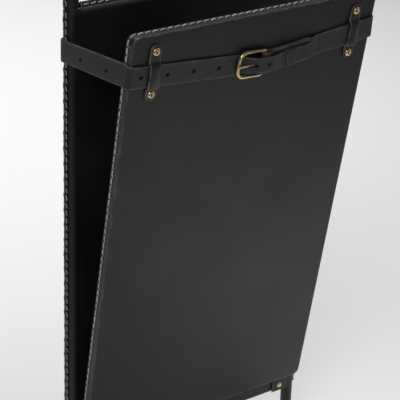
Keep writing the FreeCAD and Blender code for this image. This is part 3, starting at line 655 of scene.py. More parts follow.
def thread_material():
    known = bpy.data.materials.get("waxed_thread")
    if known:
        return known
    cream = bpy.context.scene.rack_stitch.thread
    made, tree, shader = blank_material("waxed_thread", Specular_IOR_Level=0.4,
                                        Sheen_Weight=0.15, Sheen_Roughness=0.4)
    place = put(tree, "ShaderNodeTexCoord").outputs["Object"]
    tone = put(tree, "ShaderNodeAttribute", attribute_name="tone", attribute_type="GEOMETRY")
    twist = put(tree, "ShaderNodeAttribute", attribute_name="twist", attribute_type="GEOMETRY")
    strands = math_node(tree, "SINE", twist.outputs["Fac"], 0.0)
    ply = remap(tree, strands, -1.0, 1.0, 0.0, 1.0)
    soil = put(tree, "ShaderNodeTexNoise", {"Vector": place, "Scale": 380.0, "Detail": 4.0})
    aged = mix_colour(tree, tone.outputs["Fac"], rgb(cream), rgb([c * 0.62 for c in cream]))
    soiled = mix_colour(tree, remap(tree, soil.outputs["Fac"], 0.5, 0.75, 0.0, 0.55), aged,
                        rgb((0.2, 0.15, 0.10)))
    # Painted shade: the grooves between the twisted strands are darkened.
    painted_strand_shade = mix_colour(tree, remap(tree, ply, 0.0, 0.35, 0.45, 0.0), soiled,
                       rgb((0.25, 0.19, 0.12)))
    tree.links.new(painted_strand_shade, shader.inputs["Base Color"])
    tree.links.new(remap(tree, soil.outputs["Fac"], 0.3, 0.7, 0.5, 0.75),
                   shader.inputs["Roughness"])
    bump(tree, shader, ply, 0.6, 0.12 * MM)
    return made


def brass_material(name="aged_brass", dullness=0.0):
    known = bpy.data.materials.get(name)
    if known:
        return known
    settings = bpy.context.scene.rack_brass
    made, tree, shader = blank_material(name, Metallic=1.0)
    old = use_group(tree, "tarnish", Patch_Scale=260.0)
    amount = math_node(tree, "ADD", math_node(tree, "MULTIPLY", old.outputs["Tarnish"], 0.6),
                       dullness, clamp=True)
    tree.links.new(mix_colour(tree, amount, rgb(settings.brass), rgb(settings.tarnish)),
                   shader.inputs["Base Color"])
    tree.links.new(remap(tree, amount, 0.0, 1.0, 0.17, 0.5), shader.inputs["Roughness"])
    bump(tree, shader, old.outputs["Scratches"], 0.15, 0.02 * MM)
    return made


def lacquer_material():
    """Black lacquer over steel tube, a little orange peel in it."""
    known = bpy.data.materials.get("black_lacquer")
    if known:
        return known
    made, tree, shader = blank_material("black_lacquer", Coat_Weight=0.3, Coat_Roughness=0.2)
    place = put(tree, "ShaderNodeTexCoord").outputs["Object"]
    peel = put(tree, "ShaderNodeTexNoise", {"Vector": place, "Scale": 700.0, "Detail": 2.0})
    wide = put(tree, "ShaderNodeTexNoise", {"Vector": place, "Scale": 30.0, "Detail": 4.0})
    tree.links.new(mix_colour(tree, wide.outputs["Fac"], rgb((0.012, 0.012, 0.013)),
                              rgb((0.03, 0.029, 0.028))), shader.inputs["Base Color"])
    tree.links.new(remap(tree, wide.outputs["Fac"], 0.3, 0.7, 0.32, 0.5),
                   shader.inputs["Roughness"])
    bump(tree, shader, peel.outputs["Fac"], 0.2, 0.03 * MM)
    return made


def plywood_material():
    """The boards inside the covers: birch plywood with its grain up the board."""
    known = bpy.data.materials.get("plywood")
    if known:
        return known
    made, tree, shader = blank_material("plywood")
    place = put(tree, "ShaderNodeTexCoord").outputs["Object"]
    stretch = put(tree, "ShaderNodeMapping", {"Vector": place})
    stretch.inputs["Scale"].default_value = (90.0, 90.0, 6.0)
    fibre = put(tree, "ShaderNodeTexNoise", {"Vector": stretch.outputs[0], "Scale": 1.0,
                                             "Detail": 8.0, "Distortion": 0.6})
    tree.links.new(mix_colour(tree, fibre.outputs["Fac"], rgb((0.38, 0.26, 0.15)),
                              rgb((0.58, 0.44, 0.28))), shader.inputs["Base Color"])
    tree.links.new(remap(tree, fibre.outputs["Fac"], 0.3, 0.7, 0.55, 0.75),
                   shader.inputs["Roughness"])
    bump(tree, shader, fibre.outputs["Fac"], 0.3, 0.1 * MM)
    return made


def floor_material():
    known = bpy.data.materials.get("pale_floor")
    if known:
        return known
    pale = bpy.context.scene.rack_stage.floor
    made, tree, shader = blank_material("pale_floor", Specular_IOR_Level=0.2)
    place = put(tree, "ShaderNodeTexCoord").outputs["Object"]
    soft = put(tree, "ShaderNodeTexNoise", {"Vector": place, "Scale": 1.2, "Detail": 2.0})
    tree.links.new(mix_colour(tree, soft.outputs["Fac"], rgb([c * 0.99 for c in pale]),
                              rgb([min(1.0, c * 1.01) for c in pale])),
                   shader.inputs["Base Color"])
    tree.links.new(remap(tree, soft.outputs["Fac"], 0.0, 1.0, 0.7, 0.8),
                   shader.inputs["Roughness"])
    return made


# ---------------------------------------------------------------- front board's covers
BOARD_CORNER = 8 * MM
BOARD_SPACING = 2.25 * MM
FACE_INSETS = (155, 112, 75, 46, 27, 16, 10, 6.5, 4.4, 3.3)
SEAM_ROWS = ((0.55, 0.35), (0.95, 0.12))          # inset, distance from the seam


def arc_rows(radius, w, turn_back, edge):
    """Rows of a rounded edge as (inset, w, ripple, edge mark), from the face to the side."""
    rows = []
    for k in range(1, 7):
        angle = math.radians(15 * k)
        drop = radius * (1 - math.cos(angle))
        rows.append((radius * (1 - math.sin(angle)), w + turn_back * drop, 0.0, edge))
    return rows


def board_shell(name, rows, outward):
    """A leather shell on the front board, its open side at the seam."""
    pitch = bpy.context.scene.rack_stitch.pitch
    base = outline(PANEL_HALF, 0, PANEL_LENGTH, BOARD_CORNER, BOARD_SPACING)
    points, marks = [], []
    for inset, w, depth, edge in rows:
        loop = outline(PANEL_HALF - inset, inset, PANEL_LENGTH - inset, BOARD_CORNER - inset,
                       BOARD_SPACING)
        for (at, normal, _), (_, _, along) in zip(loop, base):
            pull = depth * (1 - ripple(along, pitch))
            spot = at - normal * pull
            uneven = 0.10 * MM * drift(spot.x * 0.7, spot.y * 0.7)
            points.append(on_panel(spot.x, spot.y, w + uneven))
            marks.append(edge)
    faces = grid_faces(len(rows), len(base), False, True)
    faces.append(tuple(range(len(base))))
    return thickened(new_object(name, points, faces, marks), LEATHER, outward)


def front_face_rows():
    """From the middle of the face, over the front edge, to the seam."""
    rows = [(inset * MM, -0.24 * MM * math.exp(-inset / 6), 0.0, 0.0) for inset in FACE_INSETS]
    # The front fold is marked in full, so the edge tint paints a thin highlight along it as well as rubbing.
    rows += arc_rows(1.15 * MM, -0.18 * MM, -1, 1.0)
    side = ((0.1, -2.6), (0.2, -4.6), (0.12, -6.6), (-0.05, -7.4))
    rows += [(-bulge * MM, w * MM, 0.12 * MM, 0.15) for bulge, w in side]
    rows += [(inset * MM, SEAM_W + gap * MM, 0.3 * MM, 1.0) for inset, gap in SEAM_ROWS]
    return rows


def front_rear_rows():
    """From the middle of the rear, over the rear edge, to the seam."""
    rows = [(inset * MM, -PANEL_T, 0.0, 0.0) for inset in FACE_INSETS]
    rows += arc_rows(HINGE_ROUND, -PANEL_T, 1, 0.5)
    rows += [(-0.08 * MM, -10.2 * MM, 0.12 * MM, 0.2)]
    rows += [(inset * MM, SEAM_W - gap * MM, 0.3 * MM, 1.0) for inset, gap in SEAM_ROWS]
    return rows


# ---------------------------------------------------------------- back panel's covers
ROW_STEP = 3 * MM
TOP_PROFILE = ((5.0, 1.45), (3.6, 1.45), (2.2, 1.5), (0.9, 1.8), (0.2, 2.7), (-0.4, 4.3),
               (-1.4, 6.0), (-3.2, 7.0))          # (above the panel's top, depth), mm


BELT_PRESS = 0.9 * MM                 # how far the belt pushes the flange in


def flange_wander(along):
    """A seam flange waves a little, drawn in at every stitch: (outward, sideways)."""
    pitch = bpy.context.scene.rack_stitch.pitch
    outward = -0.55 * MM * (1 - ripple(along, pitch)) + 0.22 * MM * drift(along, 0.3) - 0.8 * MM
    sideways = 0.38 * MM * math.sin(math.pi * along / pitch) + 0.2 * MM * drift(along, 0.9)
    return outward, sideways


def back_columns():
    """Columns across one half of the back cover: (x, depth, share of flange wave)."""
    side = [(UPRIGHT_X + FLANGE_OUT, 1.45 * MM, 1.0), (UPRIGHT_X + 10.0 * MM, 1.45 * MM, 0.7),
            (UPRIGHT_X + STITCH_OUT, 1.45 * MM, 0.35), (UPRIGHT_X + 7.3 * MM, 1.45 * MM, 0.1)]
    for degrees in (12, 24, 38, 54, 72, 90):
        angle = math.radians(degrees)
        side.append((UPRIGHT_X + SHEATH_R * math.cos(angle), SHEATH_R * math.sin(angle), 0.0))
    inner = UPRIGHT_X - SHEATH_R
    flat = [(inner + 3 * MM, SHEATH_R, 0.0), (inner, SHEATH_R - 0.15 * MM, 0.0),
            (inner - 2 * MM, SHEATH_R - 0.25 * MM, 0.0), (inner - 4 * MM, SHEATH_R, 0.0)]
    count = 26
    wide = inner - 5 * MM
    middle = [(wide * (1 - 2 * k / count), SHEATH_R, 0.0) for k in range(count + 1)]
    left = side + flat
    return left + middle + [(-x, depth, wave) for x, depth, wave in reversed(left)]


def back_half(name, facing):
    """One half of the back panel's envelope; facing is -1 for the front, +1 for the rear."""
    columns = back_columns()
    straight = BACK_TOP - 3.2 * MM - CROSS_Z
    count = round(straight / ROW_STEP)
    rows = [("top", k) for k in range(len(TOP_PROFILE))]
    rows += [("straight", straight * (1 - k / count)) for k in range(1, count + 1)]
    rows += [("round", k / 7) for k in range(1, 8)]
    points, marks = [], []
    inner = UPRIGHT_X - SHEATH_R
    for kind, value in rows:
        for x, depth, wave in columns:
            folds = min(1.0, max(0.0, (inner - 1 * MM - abs(x)) / (2.5 * MM)))
            z, deep = CROSS_Z, depth
            mark = 1.0 if wave == 1.0 else 0.2 if wave else 0.0
            if kind == "top":
                rise, drawn_in = TOP_PROFILE[value]
                own = -3.2 * MM * value / (len(TOP_PROFILE) - 1)
                z = BACK_TOP + own + (rise * MM - own) * folds
                deep = depth + (drawn_in * MM - depth) * folds
                mark = max(mark, 1.0 if value == 0 else 0.4 if value > 3 else 0.0)
            elif kind == "straight":
                z = CROSS_Z + value
                sag = 0.25 * MM * drift(x * 0.5, z * 0.4) if abs(x) < inner else 0.0
                deep = depth + sag
            else:
                angle = math.radians(89 * value)
                wrapped = (SHEATH_R * math.sin(angle), depth * math.cos(angle))
                plain = 4 * MM if wave else SHEATH_R
                z = CROSS_Z - (wrapped[0] * folds + plain * value * (1 - folds))
                deep = wrapped[1] * folds + depth * (1 - folds)
            out, lift = flange_wander(z)
            out -= BELT_PRESS * math.exp(-((z - BELT_BACK_Z) / (17 * MM)) ** 6)
            x += out * wave * (1 if x > 0 else -1)
            points.append(Vector((x, UPRIGHT_Y + facing * deep + lift * wave, z)))
            marks.append(mark)
    faces = grid_faces(len(rows), len(columns))
    return thickened(new_object(name, points, faces, marks), LEATHER, Y * facing)


# ---------------------------------------------------------------- leather on the tube
def flanged_section(along):
    """Leather round the tube with its seam flange outward, as (outward, depth)."""
    out, lift = flange_wander(along)
    tip = FLANGE_OUT + out
    section = [(tip, -1.35 * MM), (tip, -0.18 * MM), (tip - 0.5 * MM, 0.0), (tip, 0.18 * MM),
               (tip, 1.35 * MM), (10.0 * MM, 1.45 * MM), (STITCH_OUT, 1.3 * MM),
               (7.3 * MM, 1.45 * MM)]
    edge = [1.0, 1.0, 0.6, 1.0, 1.0, 0.3, 0.0, 0.0]
    for k in range(15):
        angle = math.radians(12 + (360 - 24) * k / 14)
        section.append((SHEATH_R * math.cos(angle), SHEATH_R * math.sin(angle)))
        edge.append(0.0)
    section += [(7.3 * MM, -1.45 * MM), (STITCH_OUT, -1.3 * MM), (10.0 * MM, -1.45 * MM)]
    edge += [0.0, 0.0, 0.3]
    share = [min(1.0, max(0.0, (a - SHEATH_R) / (tip - SHEATH_R))) for a, _ in section]
    return [(a, n + lift * s) for (a, n), s in zip(section, share)], edge


def handle_line(outward, low, step):
    """The handle's path as (point, outward direction), from the left foot to the right."""
    x, top = UPRIGHT_X + outward, HANDLE_Z + outward
    path = rounded_path([(-x, low), (-x, top), (x, top), (x, low)], [HANDLE_BEND + outward] * 2,
                        step)
    found = []
    for k, spot in enumerate(path):
        before, after = path[max(k - 1, 0)], path[min(k + 1, len(path) - 1)]
        way = (after - before).normalized()
        found.append((Vector((spot.x, UPRIGHT_Y, spot.y)), Vector((-way.y, 0, way.x))))
    return found


def handle_cover():
    low = BACK_TOP + 0.6 * MM
    stations, along, last = [], low, None
    for centre, outward in handle_line(0.0, low, 2.2 * MM):
        along += (centre - last).length if last else 0.0
        last = centre
        section, edge = flanged_section(along)
        stations.append((centre, outward, Y, section, edge))
    return sweep("handle_cover", stations)


def seamed_ring(radius, along):
    """Leather round a tube with a low butted seam on one side."""
    section, edge = [], []
    for k in range(30):
        angle = 2 * math.pi * k / 30
        near = math.exp(-((min(angle, 2 * math.pi - angle)) / 0.22) ** 2)
        own = radius + near * (0.5 * MM + 0.15 * MM * math.cos(2 * math.pi * along / (6 * MM)))
        own += 0.06 * MM * math.sin(3 * angle + 260 * along)
        section.append((own * math.cos(angle), own * math.sin(angle)))
        edge.append(near)
    return section, edge


def tube_sleeve(name, start, end, seam_side, radius):
    way = (end - start).normalized()
    other = way.cross(seam_side)
    count = max(2, round((end - start).length / (2.4 * MM)))
    stations = []
    for k in range(count + 1):
        along = (end - start).length * k / count
        section, edge = seamed_ring(radius, along)
        stations.append((start + way * along, seam_side, other, section, edge))
    return sweep(name, stations)


# ---------------------------------------------------------------- stitches
STITCH_RINGS = 9
STITCH_SIDES = 8
STITCH_SINK = 0.35              # share of the thread's radius that is below the leather


def stitch_row(path, out, pitch, slant):
    """Places for stitches along a path: (centre, direction, outward)."""
    found, walked, due = [], 0.0, pitch / 2
    for k in range(len(path) - 1):
        run = path[k + 1] - path[k]
        while run.length > 1e-9 and due <= walked + run.length:
            normal = out[k] if isinstance(out, list) else out
            way = run.normalized()
            across = normal.cross(way)
            leaning = way * math.cos(slant) + across * math.sin(slant)
            found.append((path[k] + run * ((due - walked) / run.length), leaning, normal))
            due += pitch
        walked += run.length
    return found


FINE_THREAD = 0.72                    # the frame's seams use a thinner thread
TONE_OF_FINE = 1.6                    # and a darker one


def stitches(name, places, seed, fine=1.0):
    """Saddle stitches: short lengths of twisted thread that dive into the leather at each end."""
    settings = bpy.context.scene.rack_stitch
    chance = random.Random(seed)
    points, faces, tones, twists = [], [], [], []
    for centre, way, normal in places:
        half = settings.reach / 2 * chance.uniform(0.94, 1.04)
        radius = settings.radius * fine * chance.uniform(0.92, 1.08)
        tone = chance.random() * fine + (1 - fine) * TONE_OF_FINE
        lean = chance.uniform(-0.05, 0.05)
        across = normal.cross(way)
        first = len(points)
        for i in range(STITCH_RINGS):
            t = -1 + 2 * i / (STITCH_RINGS - 1)
            swell = radius * math.sqrt(max(0.05, 1 - abs(t) ** 5))
            lift = radius * (1 - STITCH_SINK) - 1.5 * radius * abs(t) ** 3.5
            spot = centre + way * half * t + across * (lean * half * t) + normal * lift
            for j in range(STITCH_SIDES):
                angle = 2 * math.pi * j / STITCH_SIDES
                points.append(spot + (across * math.cos(angle) + normal * math.sin(angle)) * swell)
                tones.append(tone)
                twists.append(half * t * 5200 + angle * 2)
        for i in range(STITCH_RINGS - 1):
            for j in range(STITCH_SIDES):
                a, b = first + i * STITCH_SIDES + j, first + i * STITCH_SIDES + (j + 1) % STITCH_SIDES
                faces.append((a, b, b + STITCH_SIDES, a + STITCH_SIDES))
        faces.append(tuple(first + j for j in range(STITCH_SIDES - 1, -1, -1)))
        end = first + (STITCH_RINGS - 1) * STITCH_SIDES
        faces.append(tuple(end + j for j in range(STITCH_SIDES)))
    mesh = bpy.data.meshes.new(name)
    mesh.from_pydata([tuple(p) for p in points], [], faces)
    for mark, values in (("tone", tones), ("twist", twists)):
        mesh.attributes.new(mark, "FLOAT", "POINT").data.foreach_set("value", values)
    mesh.polygons.foreach_set("use_smooth", [True] * len(mesh.polygons))
    obj = bpy.data.objects.new(name, mesh)
    bpy.context.scene.collection.objects.link(obj)
    return obj


def edge_stitch_places(pitch, slant):
    loop = outline(PANEL_HALF, 0, PANEL_LENGTH, BOARD_CORNER, BOARD_SPACING)
    path = [on_panel(at.x, at.y, SEAM_W) for at, _, _ in loop + loop[:1]]
    out = [U * normal.x + V * normal.y for _, normal, _ in loop]
    return stitch_row(path, out, pitch, slant)


def side_stitch_places(side, pitch, slant):
    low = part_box("left_side_thread")[0].z
    found = []
    for facing in (-1, 1):
        start = Vector((side * (UPRIGHT_X + STITCH_OUT), UPRIGHT_Y + facing * 1.45 * MM, low))
        path = []
        for k in range(241):
            z = low + (BACK_TOP - 1 * MM - low) * k / 240
            lift = flange_wander(z)[1] * 0.35
            path.append(Vector((start.x, start.y + lift, z)))
        found += stitch_row(path, Y * facing, pitch, slant)
    return found


def top_stitch_places(pitch, slant):
    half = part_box("back_top_thread")[1].x
    z = (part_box("back_top_thread")[0].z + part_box("back_top_thread")[1].z) / 2
    found = []
    for facing in (-1, 1):
        y = UPRIGHT_Y + facing * 1.5 * MM
        found += stitch_row([Vector((-half, y, z)), Vector((half, y, z))], Y * facing, pitch, slant)
    return found


def handle_stitch_places(pitch, slant):
    found = []
    for facing in (-1, 1):
        line = handle_line(STITCH_OUT, BACK_TOP + 2 * MM, 1 * MM)
        path = [centre + Y * facing * 1.35 * MM for centre, _ in line]
        found += stitch_row(path, Y * facing, pitch, slant)
    return found


# ---------------------------------------------------------------- belt
EDGE_IN = -7.6 * MM                   # w where the belt leaves the board's side
SIDE_U = PANEL_HALF + 1.9 * MM
TONGUE_RISE = (-29.5 * MM, -14 * MM)  # where the tongue climbs, measured from the bar
TONGUE_FALL = 10 * MM                 # where it starts down again
PRONG_SLOT = (-26.5 * MM, -10.5 * MM)  # the tongue's worn hole, measured from the bar
PRONG_SLOT_HALF = 1.8 * MM
EYE_SLOT_END = 8 * MM                 # right end of the fold's opening for the prong's eye
EYE_SLOT_HALF = 3 * MM
FIRST_HOLE_U = -147.5 * MM
BUCKLED_HOLE = 3 * MM                 # the hole just past the bar
BELT_LEAVE_Y = UPRIGHT_Y - 2 * MM     # where a side span leaves the upright
SPAN_DRAWN_IN = 3.3 * MM              # the taut belt presses the seam flange in
FLAT_W = BELT_AIR + 1.2 * MM
FOLD_R = 3.1 * MM                     # bend round the bar, at the strap's middle
MAIN_W = FLAT_W + 2.5 * MM
TONGUE_W = MAIN_W + 3.7 * MM
OVER_BAR_W = BAR_W + FOLD_R + 2.6 * MM
TONGUE_END_U = 72 * MM
FOLD_END_U = 73 * MM
TAPER_U = (-31 * MM, -12 * MM)
TIP_ROUND = 4 * MM
RIB_U = tuple((57.0 + 3.4 * k) * MM for k in range(4))
SIDE_HOLES = ((26 * MM, -2.6 * MM), (68 * MM, -1.4 * MM))   # along the span, off its middle


def across_front(u):
    slope = belt_slope(u)
    return V * math.cos(slope) - U * math.sin(slope)


def front_run(path, radii, step=2.0 * MM):
    """Part of the belt on the front board, drawn in (u, w): (centre, across, u)."""
    found = []
    for spot in rounded_path(path, radii, step):
        u = min(max(spot.x, -PANEL_HALF), PANEL_HALF)
        found.append((on_panel(spot.x, belt_height(u), spot.y), across_front(u), spot.x))
    return found


def side_run(start, end):
    """The belt between the board and an upright, without its two ends."""
    count = 34
    found = []
    for k in range(1, count):
        t = k / count
        ease = t * t * (3 - 2 * t)
        found.append((start[0].lerp(end[0], t), start[1].lerp(end[1], ease), None))
    return found


def rear_run():
    turn_x, turn_y = UPRIGHT_X + 4.5 * MM, UPRIGHT_Y + 4 * MM
    out_x, flat_y = SPAN_OUT - SPAN_DRAWN_IN, BELT_BACK_Y - 1.2 * MM
    near_y = BELT_LEAVE_Y
    path = [(-out_x, near_y), (-out_x, turn_y), (-turn_x, flat_y), (turn_x, flat_y),
            (out_x, turn_y), (out_x, near_y)]
    spots = rounded_path(path, [v * MM for v in (3, 5, 5, 3)], 4 * MM)
    return [(Vector((s.x, s.y, BELT_BACK_Z)), Z, None) for s in spots]


def tongue_width(u, settings):
    if u > TONGUE_END_U - TIP_ROUND:
        left = TIP_ROUND - (TONGUE_END_U - u)
        drop = TIP_ROUND - math.sqrt(max(0.0, TIP_ROUND ** 2 - left ** 2))
        return settings.tongue_width - 2 * drop
    if u > TAPER_U[1]:
        return settings.tongue_width
    if u > TAPER_U[0]:
        t = (TAPER_U[1] - u) / (TAPER_U[1] - TAPER_U[0])
        return settings.tongue_width + (settings.width - settings.tongue_width) * t * t * (3 - 2 * t)
    return settings.width


def tongue_thickness(u, settings):
    ribs = sum(math.exp(-((u - rib) / (0.75 * MM)) ** 2) for rib in RIB_U)
    return settings.thickness + 0.7 * MM * ribs


def belt_runs(settings):
    """The whole belt as runs of (centre, across, width, thickness), from tongue to fold."""
    wrap = 4.6 * MM
    tongue = front_run([(TONGUE_END_U - 0.2 * MM, TONGUE_W), (BAR_U + 22 * MM, TONGUE_W),
                        (BAR_U + TONGUE_FALL, OVER_BAR_W), (BAR_U + TONGUE_RISE[1], OVER_BAR_W),
                        (BAR_U + TONGUE_RISE[0], FLAT_W), (-SIDE_U, FLAT_W), (-SIDE_U, EDGE_IN)],
                       [14 * MM, 14 * MM, 14 * MM, 14 * MM, wrap], 1.2 * MM)
    rear = rear_run()
    strap = front_run([(SIDE_U, EDGE_IN), (SIDE_U, FLAT_W), (FOLD_END_U + 9 * MM, FLAT_W),
                       (FOLD_END_U + 1 * MM, MAIN_W), (BAR_U + 13 * MM, MAIN_W),
                       (BAR_U + 3 * MM, BAR_W + FOLD_R), (BAR_U - FOLD_R, BAR_W + FOLD_R),
                       (BAR_U - FOLD_R, FLAT_W), (FOLD_END_U, FLAT_W)],
                      [wrap, 6 * MM, 6 * MM, 6 * MM, 6 * MM, FOLD_R, FOLD_R])
    plain = (settings.width, settings.thickness)
    shaped = [(c, a, tongue_width(u, settings), tongue_thickness(u, settings))
              for c, a, u in tongue]
    rest = side_run(tongue[-1], rear[0]) + rear + side_run(rear[-1], strap[0]) + strap
    return shaped + [(c, a, *plain) for c, a, _ in rest]


def belt_body(settings):
    runs = belt_runs(settings)
    stations = []
    for k, (centre, across, width, thickness) in enumerate(runs):
        way = (runs[min(k + 1, len(runs) - 1)][0] - runs[max(k - 1, 0)][0]).normalized()
        normal = across.cross(way).normalized()
        section, edge = strap_section(width, thickness, crown=0.04 * MM)
        stations.append((centre, way.cross(normal), normal, section, edge))
    return sweep("belt", stations)


def punch(centre, axis, radius, half):
    profile = [(0.0, -half), (radius, -half), (radius, half), (0.0, half)]
    side = axis.orthogonal().normalized()
    return lathe("punch_pin", profile, centre, axis, side, count=24)


def slot_punch(u0, u1, half_width, w0, w1):
    """A rounded slot along the buckle, between two depths."""
    slope = math.atan2(-BAR_AXIS.x, math.hypot(BAR_AXIS.y, BAR_AXIS.z))
    along = U * math.cos(slope) + V * math.sin(slope)
    loop = []
    for end, first in ((u1 - half_width, -90), (u0 + half_width, 90)):
        for k in range(9):
            angle = math.radians(first + 22.5 * k)
            loop.append((end + half_width * math.cos(angle), half_width * math.sin(angle)))
    base = BAR - W * BAR_W
    points = [base + along * a + BAR_AXIS * b + W * w for w in (w0, w1) for a, b in loop]
    count = len(loop)
    faces = grid_faces(2, count, False, True)
    faces += [tuple(range(count - 1, -1, -1)), tuple(range(count, 2 * count))]
    return new_object("punch_slot", points, faces, [0.0] * len(points))


def belt_punches(settings):
    radius = settings.hole_radius
    cutters = []
    for n in range(settings.front_holes):
        u = FIRST_HOLE_U + n * settings.hole_pitch
        cutters.append(punch(on_panel(u, belt_height(u), FLAT_W), W, radius, 3 * MM))
    u = BAR_U + BUCKLED_HOLE
    cutters.append(punch(on_panel(u, belt_height(u), OVER_BAR_W + 0.9 * MM), W, radius, 2.05 * MM))
    start = on_panel(-SIDE_U, belt_height(-SIDE_U), EDGE_IN)
    end = Vector((-(SPAN_OUT - SPAN_DRAWN_IN), BELT_LEAVE_Y, BELT_BACK_Z))
    way = (end - start).normalized()
    for along, off in SIDE_HOLES:
        cutters.append(punch(start + way * along + Z * off, Z.cross(way).normalized(), radius,
                             4 * MM))
    cutters.append(slot_punch(*PRONG_SLOT, PRONG_SLOT_HALF, -3 * MM, 20 * MM))
    cutters.append(slot_punch(-FOLD_R - 4 * MM, EYE_SLOT_END, EYE_SLOT_HALF, -1 * MM,
                              BAR_W + FOLD_R + 1.3 * MM))
    return cutters


# ---------------------------------------------------------------- belt loops
LOOP_WIDTH = 13.5 * MM
LOOP_T = 2.2 * MM
LOOP_LENGTH = 64 * MM
LOOP_RAISED = 4.1 * MM                # the loop's middle, where it passes over the belt
LOOP_RAMP = 1.5 * MM
LOOP_BEND = 1.3 * MM
LOOP_ROOM = 1.25 * MM                 # from the belt's edge to the top of the ramp
LOOP_END_HALF = 0.4 * MM              # half width where a round end closes
LOOP_PINCH = 0.07                     # share of its width that a taut loop loses
LOOP_PINCH_RUN = 6 * MM


def belt_loop(name, centre, side, up, out, belt_low, belt_high):
    """A riveted loop with round ends that stands over the belt."""
    half, flat = LOOP_LENGTH / 2, LOOP_T / 2
    low, high = belt_low - LOOP_ROOM, belt_high + LOOP_ROOM
    end_r = LOOP_WIDTH / 2
    path = [(-half, flat), (low - LOOP_RAMP, flat), (low, LOOP_RAISED), (high, LOOP_RAISED),
            (high + LOOP_RAMP, flat), (half, flat)]
    spots = rounded_path(path, [LOOP_BEND] * 4, 1.0 * MM)
    stations = []
    for k, spot in enumerate(spots):
        left = min(half - spot.x, spot.x + half)
        width = LOOP_WIDTH
        if left < end_r:
            width = 2 * math.sqrt(max((2 * LOOP_END_HALF) ** 2, end_r ** 2 - (end_r - left) ** 2))
        over = min(1.0, max(0.0, min(spot.x - low, high - spot.x) / LOOP_PINCH_RUN))
        pinch = 1.0 - LOOP_PINCH * over
        before, after = spots[max(k - 1, 0)], spots[min(k + 1, len(spots) - 1)]
        way2 = (after - before).normalized()
        normal = (out * way2.x - up * way2.y).normalized()
        section, edge = strap_section(width * pinch, LOOP_T, 0.75 * MM, 0.25 * MM + 0.5 * MM * over)
        stations.append((centre + up * spot.x + out * spot.y, side, normal, section, edge))
    return sweep(name, stations)


def front_loop_frame(side):
    """Where a front loop sits: middle, across, up, outward."""
    return on_panel(side * LOOP_U, FRONT_LOOPS[side][0], 0.0), U, V, W


def rear_loop_frame(side):
    """Where a rear loop sits: middle, across, up, outward."""
    return Vector((side * REAR_LOOP_X, UPRIGHT_Y + SHEATH_R, BELT_BACK_Z)), -X, Z, Y


# ---------------------------------------------------------------- brass
def rivet_profile(radius, depth):
    """A tubular rivet: domed head, rolled eye with a hollow, shank below."""
    share = ((1.0, 0.0), (1.02, 0.10), (1.0, 0.24), (0.93, 0.52), (0.80, 0.78), (0.64, 0.93),
             (0.50, 1.0), (0.40, 0.97), (0.33, 0.82), (0.29, 0.55), (0.27, -0.15), (0.0, -0.15))
    height = 1.8 * MM
    head = [(radius * r, height * h) for r, h in share]
    shank = [(0.0, -depth), (1.9 * MM, -depth), (2.0 * MM, -depth + 0.3 * MM), (2.0 * MM, 0.0)]
    return shank + head


def loop_rivets(name, place, spacings, depth):
    made = []
    for side in (-1, 1):
        centre, across, up, out = place(side)
        for end in (-1, 1):
            spot = centre + up * end * spacings[side] / 2 + out * LOOP_T
            radius = bpy.context.scene.rack_brass.rivet_radius
            made.append(lathe("rivet", rivet_profile(radius, depth), spot, out, across))
    return joined(name, made)


def hinge_stud(side):
    radius = bpy.context.scene.rack_brass.stud_radius
    z = PANEL_ORIGIN.z - STUD_DROP
    face_y = HINGE.y + HINGE_ROUND + 0.1 * MM
    height = 2.4 * MM
    dome = [(radius * math.cos(math.radians(10 * k)), 0.35 * MM + (height - 0.35 * MM)
             * math.sin(math.radians(10 * k))) for k in range(10)]
    deep = UPRIGHT_Y - TUBE_R + 1.5 * MM - face_y
    profile = [(0.0, -deep), (1.4 * MM, -deep), (1.5 * MM, 0.0), (radius, 0.0)] + dome
    spot = Vector((side * TAB_X, face_y, z))
    name = ("left" if side < 0 else "right") + "_hinge_stud_brass"
    return lathe(name, profile, spot, -Y, X, count=36)


def buckle_along():
    return BAR_AXIS.cross(W).normalized()


def buckle_wire(radius):
    """The buckle's frame: a closed wire, round at the bar and flatter at the far end."""
    along = buckle_along()
    half, far = 14.6 * MM, 33 * MM
    path = rounded_path([(0, 0), (0, half), (-far, half), (-far, -half), (0, -half), (0, 0)],
                        [v * MM for v in (3, 9, 9, 3)], 1.4 * MM)[:-1]
    stations = []
    for k, spot in enumerate(path):
        way = (path[(k + 1) % len(path)] - path[k - 1]).normalized()
        out2 = Vector((way.y, -way.x))
        outward = along * out2.x + BAR_AXIS * out2.y
        share = min(1.0, max(0.0, (-spot.x - 8 * MM) / (20 * MM)))
        grown = radius * (1 + 0.22 * share)
        section, edge = ring_section(grown, 18, 1 - 0.2 * share)
        centre = BAR + along * spot.x + BAR_AXIS * spot.y
        stations.append((centre, outward, W, section, edge))
    return sweep("buckle_wire", stations, closed=True)


def prong_piece():
    along = buckle_along()
    tip_x, tip_w = -35.6 * MM, 8.2 * MM
    stations = []
    count = 26
    for k in range(count + 1):
        t = k / count
        x = (-2.2 * MM) * (1 - t) + (tip_x - 1.2 * MM) * t
        w = BAR_W + (tip_w - BAR_W) * x / tip_x
        radius = 1.55 * MM - 0.3 * MM * t
        if t > 0.95:
            radius *= math.sqrt(max(0.06, 1 - ((t - 0.95) / 0.052) ** 2))
        section, edge = ring_section(radius, 14, 0.84)
        stations.append((BAR + along * x + W * (w - BAR_W), BAR_AXIS, W, section, edge))
    shank = sweep("prong_shank", stations)
    half = 2.5 * MM
    ring = [(1.78, -half), (2.55, -half), (2.95, -half + 0.4 * MM), (2.95, half - 0.4 * MM),
            (2.55, half), (1.78, half), (1.78, -half)]
    eye = lathe("prong_eye", [(r * MM, h) for r, h in ring], BAR, BAR_AXIS, W, count=32)
    return joined("buckle_prong_brass", [shank, eye])


